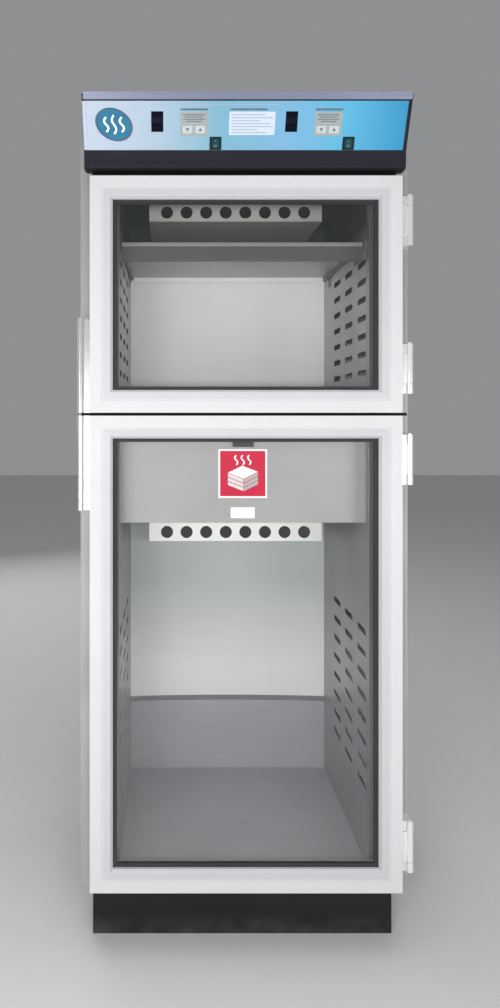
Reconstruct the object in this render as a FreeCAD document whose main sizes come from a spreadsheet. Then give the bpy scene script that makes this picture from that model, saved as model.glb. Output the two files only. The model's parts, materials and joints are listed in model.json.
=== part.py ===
import FreeCAD, Part
import math
import os
import Sketcher
from FreeCAD import Placement, Rotation, Vector

# Blanket warming cabinet, two chambers with glass doors, sloped control hood, recessed plinth.
# Millimetres. X to the right, Y to the rear (the doors face -Y), Z up.
# Origin: on the floor, midway between the sides and between hood front and rear panel.

doc = FreeCAD.newDocument("blanket_warmer")
sheet = doc.addObject("Spreadsheet::Sheet", "sizes")


# ---------------------------------------------------------------------------------------
# Sizes: each one is a cell of the sheet, and arithmetic on them keeps the cell formula.
# ---------------------------------------------------------------------------------------

class Size:
    """A number together with the sheet formula that gives it."""

    def __init__(self, number, formula):
        self.number = float(number)
        self.formula = formula

    def __add__(self, other):
        other = as_size(other)
        return Size(self.number + other.number, f"({self.formula} + {other.formula})")

    def __sub__(self, other):
        other = as_size(other)
        return Size(self.number - other.number, f"({self.formula} - {other.formula})")

    def __mul__(self, other):
        other = as_size(other)
        return Size(self.number * other.number, f"({self.formula} * {other.formula})")

    def __truediv__(self, other):
        other = as_size(other)
        return Size(self.number / other.number, f"({self.formula} / {other.formula})")

    def __neg__(self):
        return Size(-self.number, f"(0 - {self.formula})")

    def __radd__(self, other):
        return as_size(other) + self

    def __rsub__(self, other):
        return as_size(other) - self

    def __rmul__(self, other):
        return as_size(other) * self


def as_size(value):
    """The value itself if it is a Size, or a Size that holds a plain number."""
    return value if isinstance(value, Size) else Size(value, f"({float(value)})")


def root(value):
    """Square root of a Size."""
    return Size(math.sqrt(value.number), f"sqrt({value.formula})")


def new_size(alias, number):
    """Write one driving size to the sheet and return it."""
    new_size.row += 1
    sheet.set(f"A{new_size.row}", alias)
    sheet.set(f"B{new_size.row}", str(number))
    sheet.setAlias(f"B{new_size.row}", alias)
    return Size(number, "sizes." + alias)


new_size.row = 0

# Overall
total_height = new_size("total_height", 1892)
total_depth = new_size("total_depth", 673)
body_width = new_size("body_width", 737)
hood_rise = new_size("hood_rise", 24)
sheet_wall = new_size("sheet_wall", 1.5)
body_flange = new_size("body_flange", 26)

# Plinth
plinth_height = new_size("plinth_height", 140)
plinth_side_setback = new_size("plinth_side_setback", 23.5)
plinth_front_setback = new_size("plinth_front_setback", 40)
plinth_rear_setback = new_size("plinth_rear_setback", 20)
plinth_sheet = new_size("plinth_sheet", 2)
plinth_foot = new_size("plinth_foot", 30)

# Doors
door_side_margin = new_size("door_side_margin", 25.5)
door_depth = new_size("door_depth", 38)
door_setback = new_size("door_setback", 35)
door_floor_gap = new_size("door_floor_gap", 10)
door_hood_gap = new_size("door_hood_gap", 18.5)
upper_door_height = new_size("upper_door_height", 520)
door_gap = new_size("door_gap", 6.5)
member_width = new_size("member_width", 50)
member_wall = new_size("member_wall", 2)
groove_start = new_size("groove_start", 26)
groove_width = new_size("groove_width", 4)
groove_depth = new_size("groove_depth", 1.5)
bevel_width = new_size("bevel_width", 5)
slot_front = new_size("slot_front", 12)
slot_width = new_size("slot_width", 10)
slot_depth = new_size("slot_depth", 12)
glass_thickness = new_size("glass_thickness", 6)
glass_edge_gap = new_size("glass_edge_gap", 4)
seal_clearance = new_size("seal_clearance", 0.2)
seal_lip = new_size("seal_lip", 8)
gasket_depth = new_size("gasket_depth", 5.2)
gasket_width = new_size("gasket_width", 22)
gasket_inset = new_size("gasket_inset", 8)
gasket_clearance = new_size("gasket_clearance", 0.3)

# Handles
handle_height = new_size("handle_height", 208)
handle_reach = new_size("handle_reach", 27)
handle_sheet = new_size("handle_sheet", 3)
handle_web_setback = new_size("handle_web_setback", 9.5)
handle_leg = new_size("handle_leg", 25)
grip_width = new_size("grip_width", 12)
grip_depth = new_size("grip_depth", 18)
handle_screw_inset = new_size("handle_screw_inset", 30)

# Hinges
hinge_height = new_size("hinge_height", 110)
hinge_block = new_size("hinge_block", 22)
hinge_inset = new_size("hinge_inset", 97)
hinge_axis_out = new_size("hinge_axis_out", 19)
hinge_axis_back = new_size("hinge_axis_back", 11.5)
barrel_radius = new_size("barrel_radius", 8)
pin_radius = new_size("pin_radius", 3.5)
pin_clearance = new_size("pin_clearance", 0.05)
pin_head_radius = new_size("pin_head_radius", 5.5)
pin_head_height = new_size("pin_head_height", 3)
leaf_plate = new_size("leaf_plate", 3)
leaf_front_reach = new_size("leaf_front_reach", 8)
leaf_rear_reach = new_size("leaf_rear_reach", 25)
leaf_web = new_size("leaf_web", 7)
block_reach = new_size("block_reach", 15.5)
knuckle_gap = new_size("knuckle_gap", 0.5)

# Face frame and chambers
frame_depth = new_size("frame_depth", 20)
chamber_side_cavity = new_size("chamber_side_cavity", 86.5)
chamber_rear_cavity = new_size("chamber_rear_cavity", 129.1)
duct_width = new_size("duct_width", 18)
liner_sheet = new_size("liner_sheet", 1.2)
floor_behind_door = new_size("floor_behind_door", 20)
header_behind_door = new_size("header_behind_door", 246)
middle_rail_lower_lap = new_size("middle_rail_lower_lap", 37)
middle_rail_upper_lap = new_size("middle_rail_upper_lap", 36.5)
top_rail_drop = new_size("top_rail_drop", 52)
back_seam_rise = new_size("back_seam_rise", 205)
back_seam_gap = new_size("back_seam_gap", 2)
wool_screw_gap = new_size("wool_screw_gap", 2)
insulation_rear_depth = new_size("insulation_rear_depth", 50)
chamber_clearance = new_size("chamber_clearance", 0.5)

# Perforated duct panels
perforation_radius = new_size("perforation_radius", 7)
perforation_length = new_size("perforation_length", 72)
perforation_pitch_deep = new_size("perforation_pitch_deep", 120)
perforation_first_deep = new_size("perforation_first_deep", 62)
upper_rows_rise = new_size("upper_rows_rise", 56)
upper_rows_shelf_gap = new_size("upper_rows_shelf_gap", 33)
upper_rows_pitch = new_size("upper_rows_pitch", 42.5)
lower_rows_rise = new_size("lower_rows_rise", 173)
lower_rows_ceiling_gap = new_size("lower_rows_ceiling_gap", 252)
lower_rows_pitch = new_size("lower_rows_pitch", 50.7)
perforation_columns = 3

# Air plenums and header
plenum_width = new_size("plenum_width", 440)
plenum_depth = new_size("plenum_depth", 255)
upper_plenum_height = new_size("upper_plenum_height", 50)
lower_plenum_height = new_size("lower_plenum_height", 74)
outlet_radius = new_size("outlet_radius", 15.5)
outlet_pitch = new_size("outlet_pitch", 50)
outlet_rise = new_size("outlet_rise", 23)
air_hole_radius = new_size("air_hole_radius", 62)
header_setback = new_size("header_setback", 31.5)
header_side_gap = new_size("header_side_gap", 10)
header_top_lap = new_size("header_top_lap", 3)
header_flange = new_size("header_flange", 15)
label_size = new_size("label_size", 112)
label_rise = new_size("label_rise", 113)
label_thickness = new_size("label_thickness", 0.8)
sticker_width = new_size("sticker_width", 55)
sticker_height = new_size("sticker_height", 25)
sticker_rise = new_size("sticker_rise", 23)

# Shelf
shelf_ceiling_gap = new_size("shelf_ceiling_gap", 143)
shelf_lip = new_size("shelf_lip", 14)
shelf_side_clearance = new_size("shelf_side_clearance", 3)
shelf_front_setback = new_size("shelf_front_setback", 41.5)
shelf_rear_clearance = new_size("shelf_rear_clearance", 5)
shelf_apron_height = new_size("shelf_apron_height", 44)
shelf_apron_hem = new_size("shelf_apron_hem", 8)
shelf_rib_setback = new_size("shelf_rib_setback", 120)
shelf_rib_width = new_size("shelf_rib_width", 20)
shelf_rib_height = new_size("shelf_rib_height", 9)
clip_width = new_size("clip_width", 30)
clip_reach = new_size("clip_reach", 12)
clip_ledge = new_size("clip_ledge", 4)
clip_height = new_size("clip_height", 26)
clip_end_inset = new_size("clip_end_inset", 67.5)

# Blowers
blower_from_back = new_size("blower_from_back", 143.5)
drum_radius = new_size("drum_radius", 95)
drum_height = new_size("drum_height", 58)
drum_window_width = new_size("drum_window_width", 70)
drum_window_height = new_size("drum_window_height", 34)
drum_window_rise = new_size("drum_window_rise", 10)
fan_radius = new_size("fan_radius", 74)
fan_height = new_size("fan_height", 36)
fan_rise = new_size("fan_rise", 8)
fan_plate = new_size("fan_plate", 2)
fan_hub_radius = new_size("fan_hub_radius", 13)
fan_blade_length = new_size("fan_blade_length", 20)
fan_blade_thickness = new_size("fan_blade_thickness", 1.6)
fan_blade_count = 16
fan_rim = new_size("fan_rim", 1)
shaft_radius = new_size("shaft_radius", 4)
shaft_clearance = new_size("shaft_clearance", 0.05)
drum_shaft_gap = new_size("drum_shaft_gap", 2)
shaft_in_motor = new_size("shaft_in_motor", 40)
shaft_end_gap = new_size("shaft_end_gap", 1)
motor_radius = new_size("motor_radius", 45)
motor_height = new_size("motor_height", 50)
heater_radius = new_size("heater_radius", 118)
heater_tube_radius = new_size("heater_tube_radius", 4.5)
heater_leg_radius = new_size("heater_leg_radius", 3.5)
heater_rise = new_size("heater_rise", 28)

# Control hood
hood_side_setback = new_size("hood_side_setback", 10.5)
hood_wall = new_size("hood_wall", 3)
hood_height = new_size("hood_height", 150)
hood_over_top = new_size("hood_over_top", 58)
hood_corner_radius = new_size("hood_corner_radius", 12)
end_cap_width = new_size("end_cap_width", 10)
end_cap_rounding = new_size("end_cap_rounding", 7)
face_height = new_size("face_height", 108)
face_lean = new_size("face_lean", 50)
trim_sheet = new_size("trim_sheet", 1.5)
trim_face_width = new_size("trim_face_width", 16)
trim_top_width = new_size("trim_top_width", 25)
overlay_thickness = new_size("overlay_thickness", 1.2)
overlay_foot_margin = new_size("overlay_foot_margin", 3)
overlay_top_margin = new_size("overlay_top_margin", 0.5)
display_width = new_size("display_width", 26)
display_height = new_size("display_height", 41)
display_depth = new_size("display_depth", 12)
display_centre_up = new_size("display_centre_up", 61)
aperture_clearance = new_size("aperture_clearance", 0.2)
key_width = new_size("key_width", 22)
key_height = new_size("key_height", 16)
key_pitch = new_size("key_pitch", 28)
key_centre_up = new_size("key_centre_up", 45)
key_depth = new_size("key_depth", 5)
key_proud = new_size("key_proud", 0.5)
switch_width = new_size("switch_width", 26)
switch_height = new_size("switch_height", 27)
switch_flange = new_size("switch_flange", 2)
switch_body_inset = new_size("switch_body_inset", 2)
switch_centre_up = new_size("switch_centre_up", 17)
rocker_width = new_size("rocker_width", 17)
rocker_radius = new_size("rocker_radius", 10)
rocker_top = new_size("rocker_top", 2.5)
rocker_drop = new_size("rocker_drop", 1.6)
switch_floor = new_size("switch_floor", 2)
rocker_clearance = new_size("rocker_clearance", 0.4)
upper_control_across = new_size("upper_control_across", -114.7)
lower_control_across = new_size("lower_control_across", 178)
display_from_keys = new_size("display_from_keys", 80)
switch_from_keys = new_size("switch_from_keys", 48)

# Rear panel, screws, supply terminal box, control board
rear_margin = new_size("rear_margin", 2)
screw_radius = new_size("screw_radius", 2)
screw_head_radius = new_size("screw_head_radius", 4.5)
screw_head_height = new_size("screw_head_height", 2.4)
screw_length = new_size("screw_length", 10)
screw_end_margin = new_size("screw_end_margin", 40)
screws_in_column = 6
louvre_width = new_size("louvre_width", 130)
louvre_height = new_size("louvre_height", 5)
louvre_pitch = new_size("louvre_pitch", 14)
upper_louvre_rise = new_size("upper_louvre_rise", 20)
lower_louvre_rise = new_size("lower_louvre_rise", 60)
upper_louvre_rows = 6
lower_louvre_rows = 8
terminal_across = new_size("terminal_across", 240)
terminal_rise = new_size("terminal_rise", 53)
terminal_lap = new_size("terminal_lap", 6)
terminal_cover = new_size("terminal_cover", 2.2)
terminal_width = new_size("terminal_width", 48)
terminal_height = new_size("terminal_height", 34)
terminal_depth = new_size("terminal_depth", 30)
board_width = new_size("board_width", 180)
board_height = new_size("board_height", 56)
board_thickness = new_size("board_thickness", 1.6)
board_standoff = new_size("board_standoff", 8)
board_post_radius = new_size("board_post_radius", 3)
board_post_inset = new_size("board_post_inset", 6)
board_centre = new_size("board_centre", 60)
board_rise = new_size("board_rise", 48)
component_rise = new_size("component_rise", 14)

doc.recompute()

# Cutting tools run this far past the faces that they cut, and points closer than TOUCH are one.
SPARE = 1
TOUCH = 0.01

# Planes and edges that several pieces share
body_half = body_width / 2
body_top = total_height - hood_rise
hood_bottom = total_height - hood_height
plinth_width = body_width - 2 * plinth_side_setback
door_width = body_width - 2 * door_side_margin
chamber_width = body_width - 2 * chamber_side_cavity
hood_width = body_width - 2 * hood_side_setback
rear_face = total_depth / 2 - screw_head_height
body_rear = rear_face - sheet_wall
door_front = 0 - total_depth / 2 + door_setback
door_rear = door_front + door_depth
body_front = door_rear + gasket_depth + gasket_clearance
frame_rear = body_front + frame_depth
door_half = door_width / 2
lower_door_bottom = plinth_height + door_floor_gap
upper_door_top = hood_bottom - door_hood_gap
upper_door_bottom = upper_door_top - upper_door_height
lower_door_top = upper_door_bottom - door_gap
lower_floor_level = lower_door_bottom + floor_behind_door
lower_ceiling_level = lower_door_top - header_behind_door
upper_floor_level = upper_door_bottom + middle_rail_upper_lap
upper_ceiling_level = hood_bottom
middle_rail_bottom = lower_door_top - middle_rail_lower_lap
top_rail_bottom = upper_ceiling_level - top_rail_drop
shelf_level = upper_ceiling_level - shelf_ceiling_gap
shelf_bottom = shelf_level - shelf_lip
chamber_half = chamber_width / 2
liner_half = chamber_half + duct_width
chamber_back = body_rear - chamber_rear_cavity
blower_centre = chamber_back - blower_from_back
pan_top = plinth_height + sheet_wall
hinge_axis_across = door_half + hinge_axis_out
hinge_axis_deep = door_front + hinge_axis_back


# ---------------------------------------------------------------------------------------
# Document helpers
# ---------------------------------------------------------------------------------------

def bind(item, prop, value):
    """Drive one property of a document object by a size."""
    item.setExpression(prop, as_size(value).formula)


def move_to(item, across, deep, up):
    """Bind the position of a document object."""
    bind(item, "Placement.Base.x", across)
    bind(item, "Placement.Base.y", deep)
    bind(item, "Placement.Base.z", up)


def box(left, right, front, rear, bottom, top):
    """Box between six planes."""
    item = doc.addObject("Part::Box", "box")
    bind(item, "Length", right - left)
    bind(item, "Width", rear - front)
    bind(item, "Height", top - bottom)
    move_to(item, left, front, bottom)
    return item


AXIS_TURNS = {
    "x": Rotation(Vector(0, 1, 0), 90),
    "y": Rotation(Vector(1, 0, 0), -90),
    "z": Rotation(),
}


def rod(radius, length, across, deep, up, axis="z"):
    """Cylinder that starts at a point and runs along an axis."""
    item = doc.addObject("Part::Cylinder", "rod")
    item.Placement = Placement(Vector(), AXIS_TURNS[axis])
    bind(item, "Radius", radius)
    bind(item, "Height", length)
    move_to(item, across, deep, up)
    return item


def group(items):
    """Separate solids held together in one object."""
    item = doc.addObject("Part::Compound", "group")
    item.Links = items
    return item


def fuse(items):
    """One solid from pieces that meet."""
    item = doc.addObject("Part::MultiFuse", "fuse")
    item.Shapes = items
    return item


def cut(base, tools):
    """A base with tools taken away."""
    item = doc.addObject("Part::Cut", "cut")
    item.Base = base
    item.Tool = tools[0] if len(tools) == 1 else group(tools)
    return item


def new_body(name):
    """Empty PartDesign body."""
    return doc.addObject("PartDesign::Body", name)


def origin_plane(body, role):
    """One of a body's own origin planes."""
    return [item for item in body.Origin.OriginFeatures if item.Role == role][0]


def new_sketch(body, role):
    """Sketch attached to one of the body's origin planes."""
    sketch = body.newObject("Sketcher::SketchObject", "sketch")
    sketch.AttachmentSupport = (origin_plane(body, role), [""])
    sketch.MapMode = "FlatFace"
    return sketch


def add_outline(sketch, corners):
    """Closed outline of straight edges, each corner held by two bound distances."""
    corners = [(as_size(a), as_size(b)) for a, b in corners]
    first = sketch.GeometryCount
    count = len(corners)
    for index in range(count):
        here = corners[index]
        there = corners[(index + 1) % count]
        start = Vector(here[0].number, here[1].number, 0)
        end = Vector(there[0].number, there[1].number, 0)
        sketch.addGeometry(Part.LineSegment(start, end))
    for index in range(count):
        following = first + (index + 1) % count
        sketch.addConstraint(Sketcher.Constraint("Coincident", first + index, 2, following, 1))
    for index in range(count):
        for kind, value in zip(("DistanceX", "DistanceY"), corners[index]):
            rule = Sketcher.Constraint(kind, -1, 1, first + index, 1, value.number)
            number = sketch.addConstraint(rule)
            sketch.setExpression(f"Constraints[{number}]", value.formula)


def pad(body, sketch, length, symmetric=False):
    """Extrude a sketch."""
    feature = body.newObject("PartDesign::Pad", "pad")
    feature.Profile = sketch
    if symmetric:
        feature.SideType = "Symmetric"
    bind(feature, "Length", length)
    return feature


def pocket_through(body, sketch):
    """Cut a sketch right through, both ways."""
    feature = body.newObject("PartDesign::Pocket", "pocket")
    feature.Profile = sketch
    feature.Type = "ThroughAll"
    feature.SideType = "Symmetric"
    return feature


def edges_at(shape, **where):
    """Names of the straight edges whose ends all have the given coordinates."""
    names = []
    for index, edge in enumerate(shape.Edges, 1):
        ends = [vertex.Point for vertex in edge.Vertexes]
        gaps = [abs(getattr(end, axis) - value.number) for end in ends for axis, value in where.items()]
        if len(ends) == 2 and max(gaps) < TOUCH:
            names.append(f"Edge{index}")
    return names


def fillet(body, names, radius):
    """Round the named edges of a body's last feature."""
    rounded = body.Tip
    feature = body.newObject("PartDesign::Fillet", "fillet")
    feature.Base = (rounded, names)
    bind(feature, "Radius", radius)
    return feature


subparts = []


def subpart(label, item):
    """Name an object as one of the cabinet's pieces."""
    item.Label = label
    subparts.append(item)
    return item


def section_along_x(label, corners, length):
    """Constant section in the YZ plane, centred on X."""
    body = new_body(label)
    sketch = new_sketch(body, "YZ_Plane")
    add_outline(sketch, corners)
    pad(body, sketch, length, symmetric=True)
    return body


def section_along_z(label, corners, bottom, top):
    """Constant section in the XY plane, from one level to another."""
    body = new_body(label)
    sketch = new_sketch(body, "XY_Plane")
    add_outline(sketch, corners)
    pad(body, sketch, top - bottom)
    bind(body, "Placement.Base.z", bottom)
    return body


# ---------------------------------------------------------------------------------------
# Plinth: four folded panels, each with a foot flange turned inwards
# ---------------------------------------------------------------------------------------

plinth_front = body_front + plinth_front_setback
plinth_rear = body_rear - plinth_rear_setback
plinth_half = plinth_width / 2


def plinth_end_panel(name, face, inward):
    """Front or rear panel, its foot notched at both ends; inward is +1 where that is to the rear."""
    inner = face + inward * plinth_sheet
    foot = face + inward * plinth_foot
    corners = [(face, 0), (foot, 0), (foot, plinth_sheet), (inner, plinth_sheet),
               (inner, plinth_height), (face, plinth_height)]
    front, rear = (inner, foot) if inward > 0 else (foot, inner)
    notches = []
    for side in (-1, 1):
        low, high = sorted((side * plinth_half, side * (plinth_half - plinth_sheet)),
                           key=lambda edge: edge.number)
        notches.append(box(low, high, front, rear, as_size(-SPARE), plinth_sheet))
    return cut(section_along_x(name, corners, plinth_width), notches)


def plinth_side_panel(side):
    """Side panel between the front and the rear panel."""
    face = side * plinth_half
    inner = face - side * plinth_sheet
    foot = face - side * plinth_foot
    left, right = (face, inner) if side < 0 else (inner, face)
    front = plinth_front + plinth_sheet
    rear = plinth_rear - plinth_sheet
    upright = box(left, right, front, rear, as_size(0), plinth_height)
    left, right = (face, foot) if side < 0 else (foot, face)
    base = box(left, right, plinth_front + plinth_foot, plinth_rear - plinth_foot, as_size(0), plinth_sheet)
    return fuse([upright, base])


subpart("plinth_panels", group([
    plinth_end_panel("plinth_front_panel", plinth_front, 1),
    plinth_end_panel("plinth_rear_panel", plinth_rear, -1),
    plinth_side_panel(-1),
    plinth_side_panel(1),
]))

# ---------------------------------------------------------------------------------------
# Outer shell
# ---------------------------------------------------------------------------------------

screw_across = body_half - sheet_wall - body_flange / 2
screw_bottom = plinth_height + screw_end_margin
screw_pitch = (body_top - screw_end_margin - screw_bottom) / (screws_in_column - 1)


def screw_rods(radius, start, length, across):
    """One rod at each screw of a column on the rear panel."""
    return [rod(radius, length, across, start, screw_bottom + step * screw_pitch, "y")
            for step in range(screws_in_column)]


def side_panel(side):
    """Side sheet with a front flange beside the doors and a rear flange for the rear panel."""
    outer = side * body_half
    inner = outer - side * sheet_wall
    flange = outer - side * body_flange
    corners = [(outer, body_front), (flange, body_front), (flange, body_front + sheet_wall),
               (inner, body_front + sheet_wall), (inner, body_rear - sheet_wall),
               (flange, body_rear - sheet_wall), (flange, body_rear), (outer, body_rear)]
    body = section_along_z("side_sheet", corners, plinth_height, body_top)
    holes = screw_rods(screw_radius, body_rear - sheet_wall - SPARE, sheet_wall + 2 * SPARE,
                       side * screw_across)
    return cut(body, holes)


subpart("side_panel_left", side_panel(-1))
subpart("side_panel_right", side_panel(1))

inner_half = body_half - sheet_wall
flange_edge = body_half - body_flange
frame_top = body_top - sheet_wall


def end_sheet(bottom, top):
    """Level sheet between the side panels, notched round their flanges."""
    return fuse([
        box(-inner_half, inner_half, body_front + sheet_wall, body_rear - sheet_wall, bottom, top),
        box(-flange_edge, flange_edge, body_front, body_rear, bottom, top),
    ])


subpart("bottom_pan", end_sheet(plinth_height, pan_top))
subpart("top_panel", end_sheet(frame_top, body_top))


def louvre_bank(bottom, rows):
    """Two columns of ventilation slots through the rear panel."""
    slots = []
    for side in (-1, 1):
        centre = side * (louvre_width / 2 + louvre_pitch)
        for row in range(rows):
            low = bottom + row * louvre_pitch
            slots.append(box(centre - louvre_width / 2, centre + louvre_width / 2,
                             body_rear - SPARE, rear_face + SPARE, low, low + louvre_height))
    return slots


rear_panel_half = inner_half - sheet_wall
rear_sheet = box(-rear_panel_half, rear_panel_half, body_rear, rear_face,
                 plinth_height + rear_margin, body_top - rear_margin)
rear_cuts = louvre_bank(upper_ceiling_level + upper_louvre_rise, upper_louvre_rows)
rear_cuts += louvre_bank(lower_ceiling_level + lower_louvre_rise, lower_louvre_rows)
for panel_side in (-1, 1):
    rear_cuts += screw_rods(screw_radius, body_rear - SPARE, sheet_wall + 2 * SPARE,
                            panel_side * screw_across)
terminal_level = upper_ceiling_level + terminal_rise
terminal_left = terminal_across - terminal_width / 2
terminal_right = terminal_across + terminal_width / 2
terminal_bottom = terminal_level - terminal_height / 2
terminal_top = terminal_level + terminal_height / 2
rear_cuts.append(box(terminal_left, terminal_right, body_rear - SPARE, rear_face + SPARE,
                     terminal_bottom, terminal_top))
subpart("rear_panel", cut(rear_sheet, rear_cuts))

screws = []
for panel_side in (-1, 1):
    shanks = screw_rods(screw_radius, rear_face - screw_length, screw_length, panel_side * screw_across)
    heads = screw_rods(screw_head_radius, rear_face, screw_head_height, panel_side * screw_across)
    screws += [fuse([shank, head]) for shank, head in zip(shanks, heads)]
subpart("panel_screws", group(screws))

# ---------------------------------------------------------------------------------------
# Face frame: channels that the door gaskets close against
# ---------------------------------------------------------------------------------------


def channel_section(edge_low, edge_high):
    """U section open to the rear, from one edge to another; pairs are (along, deep)."""
    return [(edge_low, body_front), (edge_high, body_front), (edge_high, frame_rear),
            (edge_high - sheet_wall, frame_rear), (edge_high - sheet_wall, body_front + sheet_wall),
            (edge_low + sheet_wall, body_front + sheet_wall), (edge_low + sheet_wall, frame_rear),
            (edge_low, frame_rear)]


def swap(corners):
    """Exchange the two coordinates, for a section in the YZ plane."""
    return [(second, first) for first, second in corners]


subpart("face_frame_stiles", group([
    section_along_z("stile_left", channel_section(-flange_edge, -chamber_half), pan_top, frame_top),
    section_along_z("stile_right", channel_section(chamber_half, flange_edge), pan_top, frame_top),
]))
subpart("face_frame_rails", group([
    section_along_x("rail_bottom", swap(channel_section(pan_top, lower_floor_level)), chamber_width),
    section_along_x("rail_middle", swap(channel_section(middle_rail_bottom, upper_floor_level)),
                    chamber_width),
    section_along_x("rail_top", swap(channel_section(top_rail_bottom, frame_top)), chamber_width),
]))

# ---------------------------------------------------------------------------------------
# Liner: side walls, back, floors and ceilings of folded sheet, with insulation around them
# ---------------------------------------------------------------------------------------

floor_underside = lower_floor_level - liner_sheet
ceiling_topside = upper_ceiling_level + liner_sheet
subpart("liner_walls", group([
    box(-liner_half - liner_sheet, -liner_half, frame_rear, chamber_back, floor_underside,
        ceiling_topside),
    box(liner_half, liner_half + liner_sheet, frame_rear, chamber_back, floor_underside,
        ceiling_topside),
]))
liner_outer = liner_half + liner_sheet
back_seam_level = lower_floor_level + back_seam_rise
subpart("liner_back", group([
    box(-liner_outer, liner_outer, chamber_back, chamber_back + liner_sheet, floor_underside,
        back_seam_level),
    box(-liner_outer, liner_outer, chamber_back, chamber_back + liner_sheet,
        back_seam_level + back_seam_gap, ceiling_topside),
]))


def liner_plate(front, bottom, holes):
    """Floor or ceiling sheet between the liner walls."""
    plate = box(-liner_half, liner_half, front, chamber_back, bottom, bottom + liner_sheet)
    return cut(plate, holes) if holes else plate


def air_opening(bottom):
    """Round opening under a blower."""
    return [rod(air_hole_radius, liner_sheet + 2 * SPARE, as_size(0), blower_centre, bottom - SPARE)]


header_face = body_front + header_setback
subpart("chamber_floors", group([
    liner_plate(frame_rear, floor_underside, []),
    liner_plate(frame_rear, upper_floor_level - liner_sheet, []),
]))
subpart("chamber_ceilings", group([
    liner_plate(header_face, lower_ceiling_level, air_opening(lower_ceiling_level)),
    liner_plate(frame_rear, upper_ceiling_level, air_opening(upper_ceiling_level)),
]))

insulation_back = chamber_back + liner_sheet
wool_end = rear_face - screw_length - wool_screw_gap
wool_sides = [box(side_left, side_right, frame_rear, wool_end, pan_top, ceiling_topside)
              for side_left, side_right in ((-inner_half, -liner_outer), (liner_outer, inner_half))]
wool_rear = box(-liner_outer, liner_outer, insulation_back, insulation_back + insulation_rear_depth,
                floor_underside, ceiling_topside)
wool_floor = box(-liner_outer, liner_outer, frame_rear, wool_end, pan_top, floor_underside)
subpart("insulation_panels", group(wool_sides + [wool_rear, wool_floor]))

# ---------------------------------------------------------------------------------------
# Perforated duct panels: a sheet on each side of a chamber, with flanges back to the liner
# ---------------------------------------------------------------------------------------

duct_clear = liner_half - chamber_half


def slot_tools(start, deep, level):
    """Level slot with round ends, as a box between two rods."""
    thick = liner_sheet + 2 * SPARE
    reach = perforation_length / 2 - perforation_radius
    return [rod(perforation_radius, thick, start, deep - reach, level, "x"),
            rod(perforation_radius, thick, start, deep + reach, level, "x"),
            box(start, start + thick, deep - reach, deep + reach,
                level - perforation_radius, level + perforation_radius)]


def duct_panel(side, bottom, top, rows_start, rows_end, rows_pitch):
    """One folded panel with columns of punched slots, as many rows as there is room for."""
    rows = int((rows_end - rows_start).number / rows_pitch.number) + 1
    face = side * chamber_half
    hidden = face + side * liner_sheet
    wall = face + side * duct_clear
    front = frame_rear
    rear = chamber_back
    corners = [(face, front), (wall, front), (wall, front + liner_sheet), (hidden, front + liner_sheet),
               (hidden, rear - liner_sheet), (wall, rear - liner_sheet), (wall, rear), (face, rear)]
    panel = section_along_z("duct_sheet", corners, bottom, top)
    start = face - SPARE if side > 0 else face - liner_sheet - SPARE
    slots = []
    for column in range(perforation_columns):
        deep = body_front + perforation_first_deep + column * perforation_pitch_deep
        for row in range(rows):
            level = rows_start + row * rows_pitch
            slots += slot_tools(start, deep, level)
    return cut(panel, slots)


subpart("upper_duct_panels", group([
    duct_panel(side, upper_floor_level, upper_ceiling_level, upper_floor_level + upper_rows_rise,
               shelf_bottom - upper_rows_shelf_gap, upper_rows_pitch)
    for side in (-1, 1)]))
subpart("lower_duct_panels", group([
    duct_panel(side, lower_floor_level, lower_ceiling_level, lower_floor_level + lower_rows_rise,
               lower_ceiling_level - lower_rows_ceiling_gap, lower_rows_pitch)
    for side in (-1, 1)]))

# ---------------------------------------------------------------------------------------
# Air plenums: folded boxes under the ceilings, eight outlets in the front face
# ---------------------------------------------------------------------------------------

plenum_front = chamber_back - plenum_depth
outlet_count = 8


def plenum(ceiling, height):
    """Box open to the ceiling and to the back wall."""
    bottom = ceiling - height
    half = plenum_width / 2
    shell = box(-half, half, plenum_front, chamber_back, bottom, ceiling)
    inside = box(liner_sheet - half, half - liner_sheet, plenum_front + liner_sheet,
                 chamber_back + SPARE, bottom + liner_sheet, ceiling + SPARE)
    tools = []
    for index in range(outlet_count):
        across = outlet_pitch * (index - (outlet_count - 1) / 2)
        tools.append(rod(outlet_radius, liner_sheet + 2 * SPARE, across, plenum_front - SPARE,
                         bottom + outlet_rise, "y"))
    return cut(cut(shell, [inside]), tools)


subpart("upper_air_plenum", plenum(upper_ceiling_level, upper_plenum_height))
subpart("lower_air_plenum", plenum(lower_ceiling_level, lower_plenum_height))

# ---------------------------------------------------------------------------------------
# Header panel of the lower chamber, closing off its blower and heater
# ---------------------------------------------------------------------------------------

header_bottom = lower_ceiling_level
header_front = header_face - liner_sheet
header_half = liner_half - header_side_gap
header_top_level = lower_door_top + header_top_lap
label_level = lower_ceiling_level + label_rise
sticker_level = lower_ceiling_level + sticker_rise
header_corners = [
    (header_front, header_bottom), (header_face, header_bottom),
    (header_face, header_top_level - liner_sheet),
    (header_face + header_flange, header_top_level - liner_sheet),
    (header_face + header_flange, header_top_level), (frame_rear, header_top_level),
    (frame_rear, header_top_level - liner_sheet), (header_front, header_top_level - liner_sheet),
]
subpart("lower_header_panel", section_along_x("lower_header_panel", header_corners, header_half * 2))
subpart("header_labels", group([
    box(-label_size / 2, label_size / 2, header_front - label_thickness, header_front,
        label_level - label_size / 2, label_level + label_size / 2),
    box(-sticker_width / 2, sticker_width / 2, header_front - label_thickness, header_front,
        sticker_level - sticker_height / 2, sticker_level + sticker_height / 2),
]))

# ---------------------------------------------------------------------------------------
# Shelf of the upper chamber, on four clips
# ---------------------------------------------------------------------------------------

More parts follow.
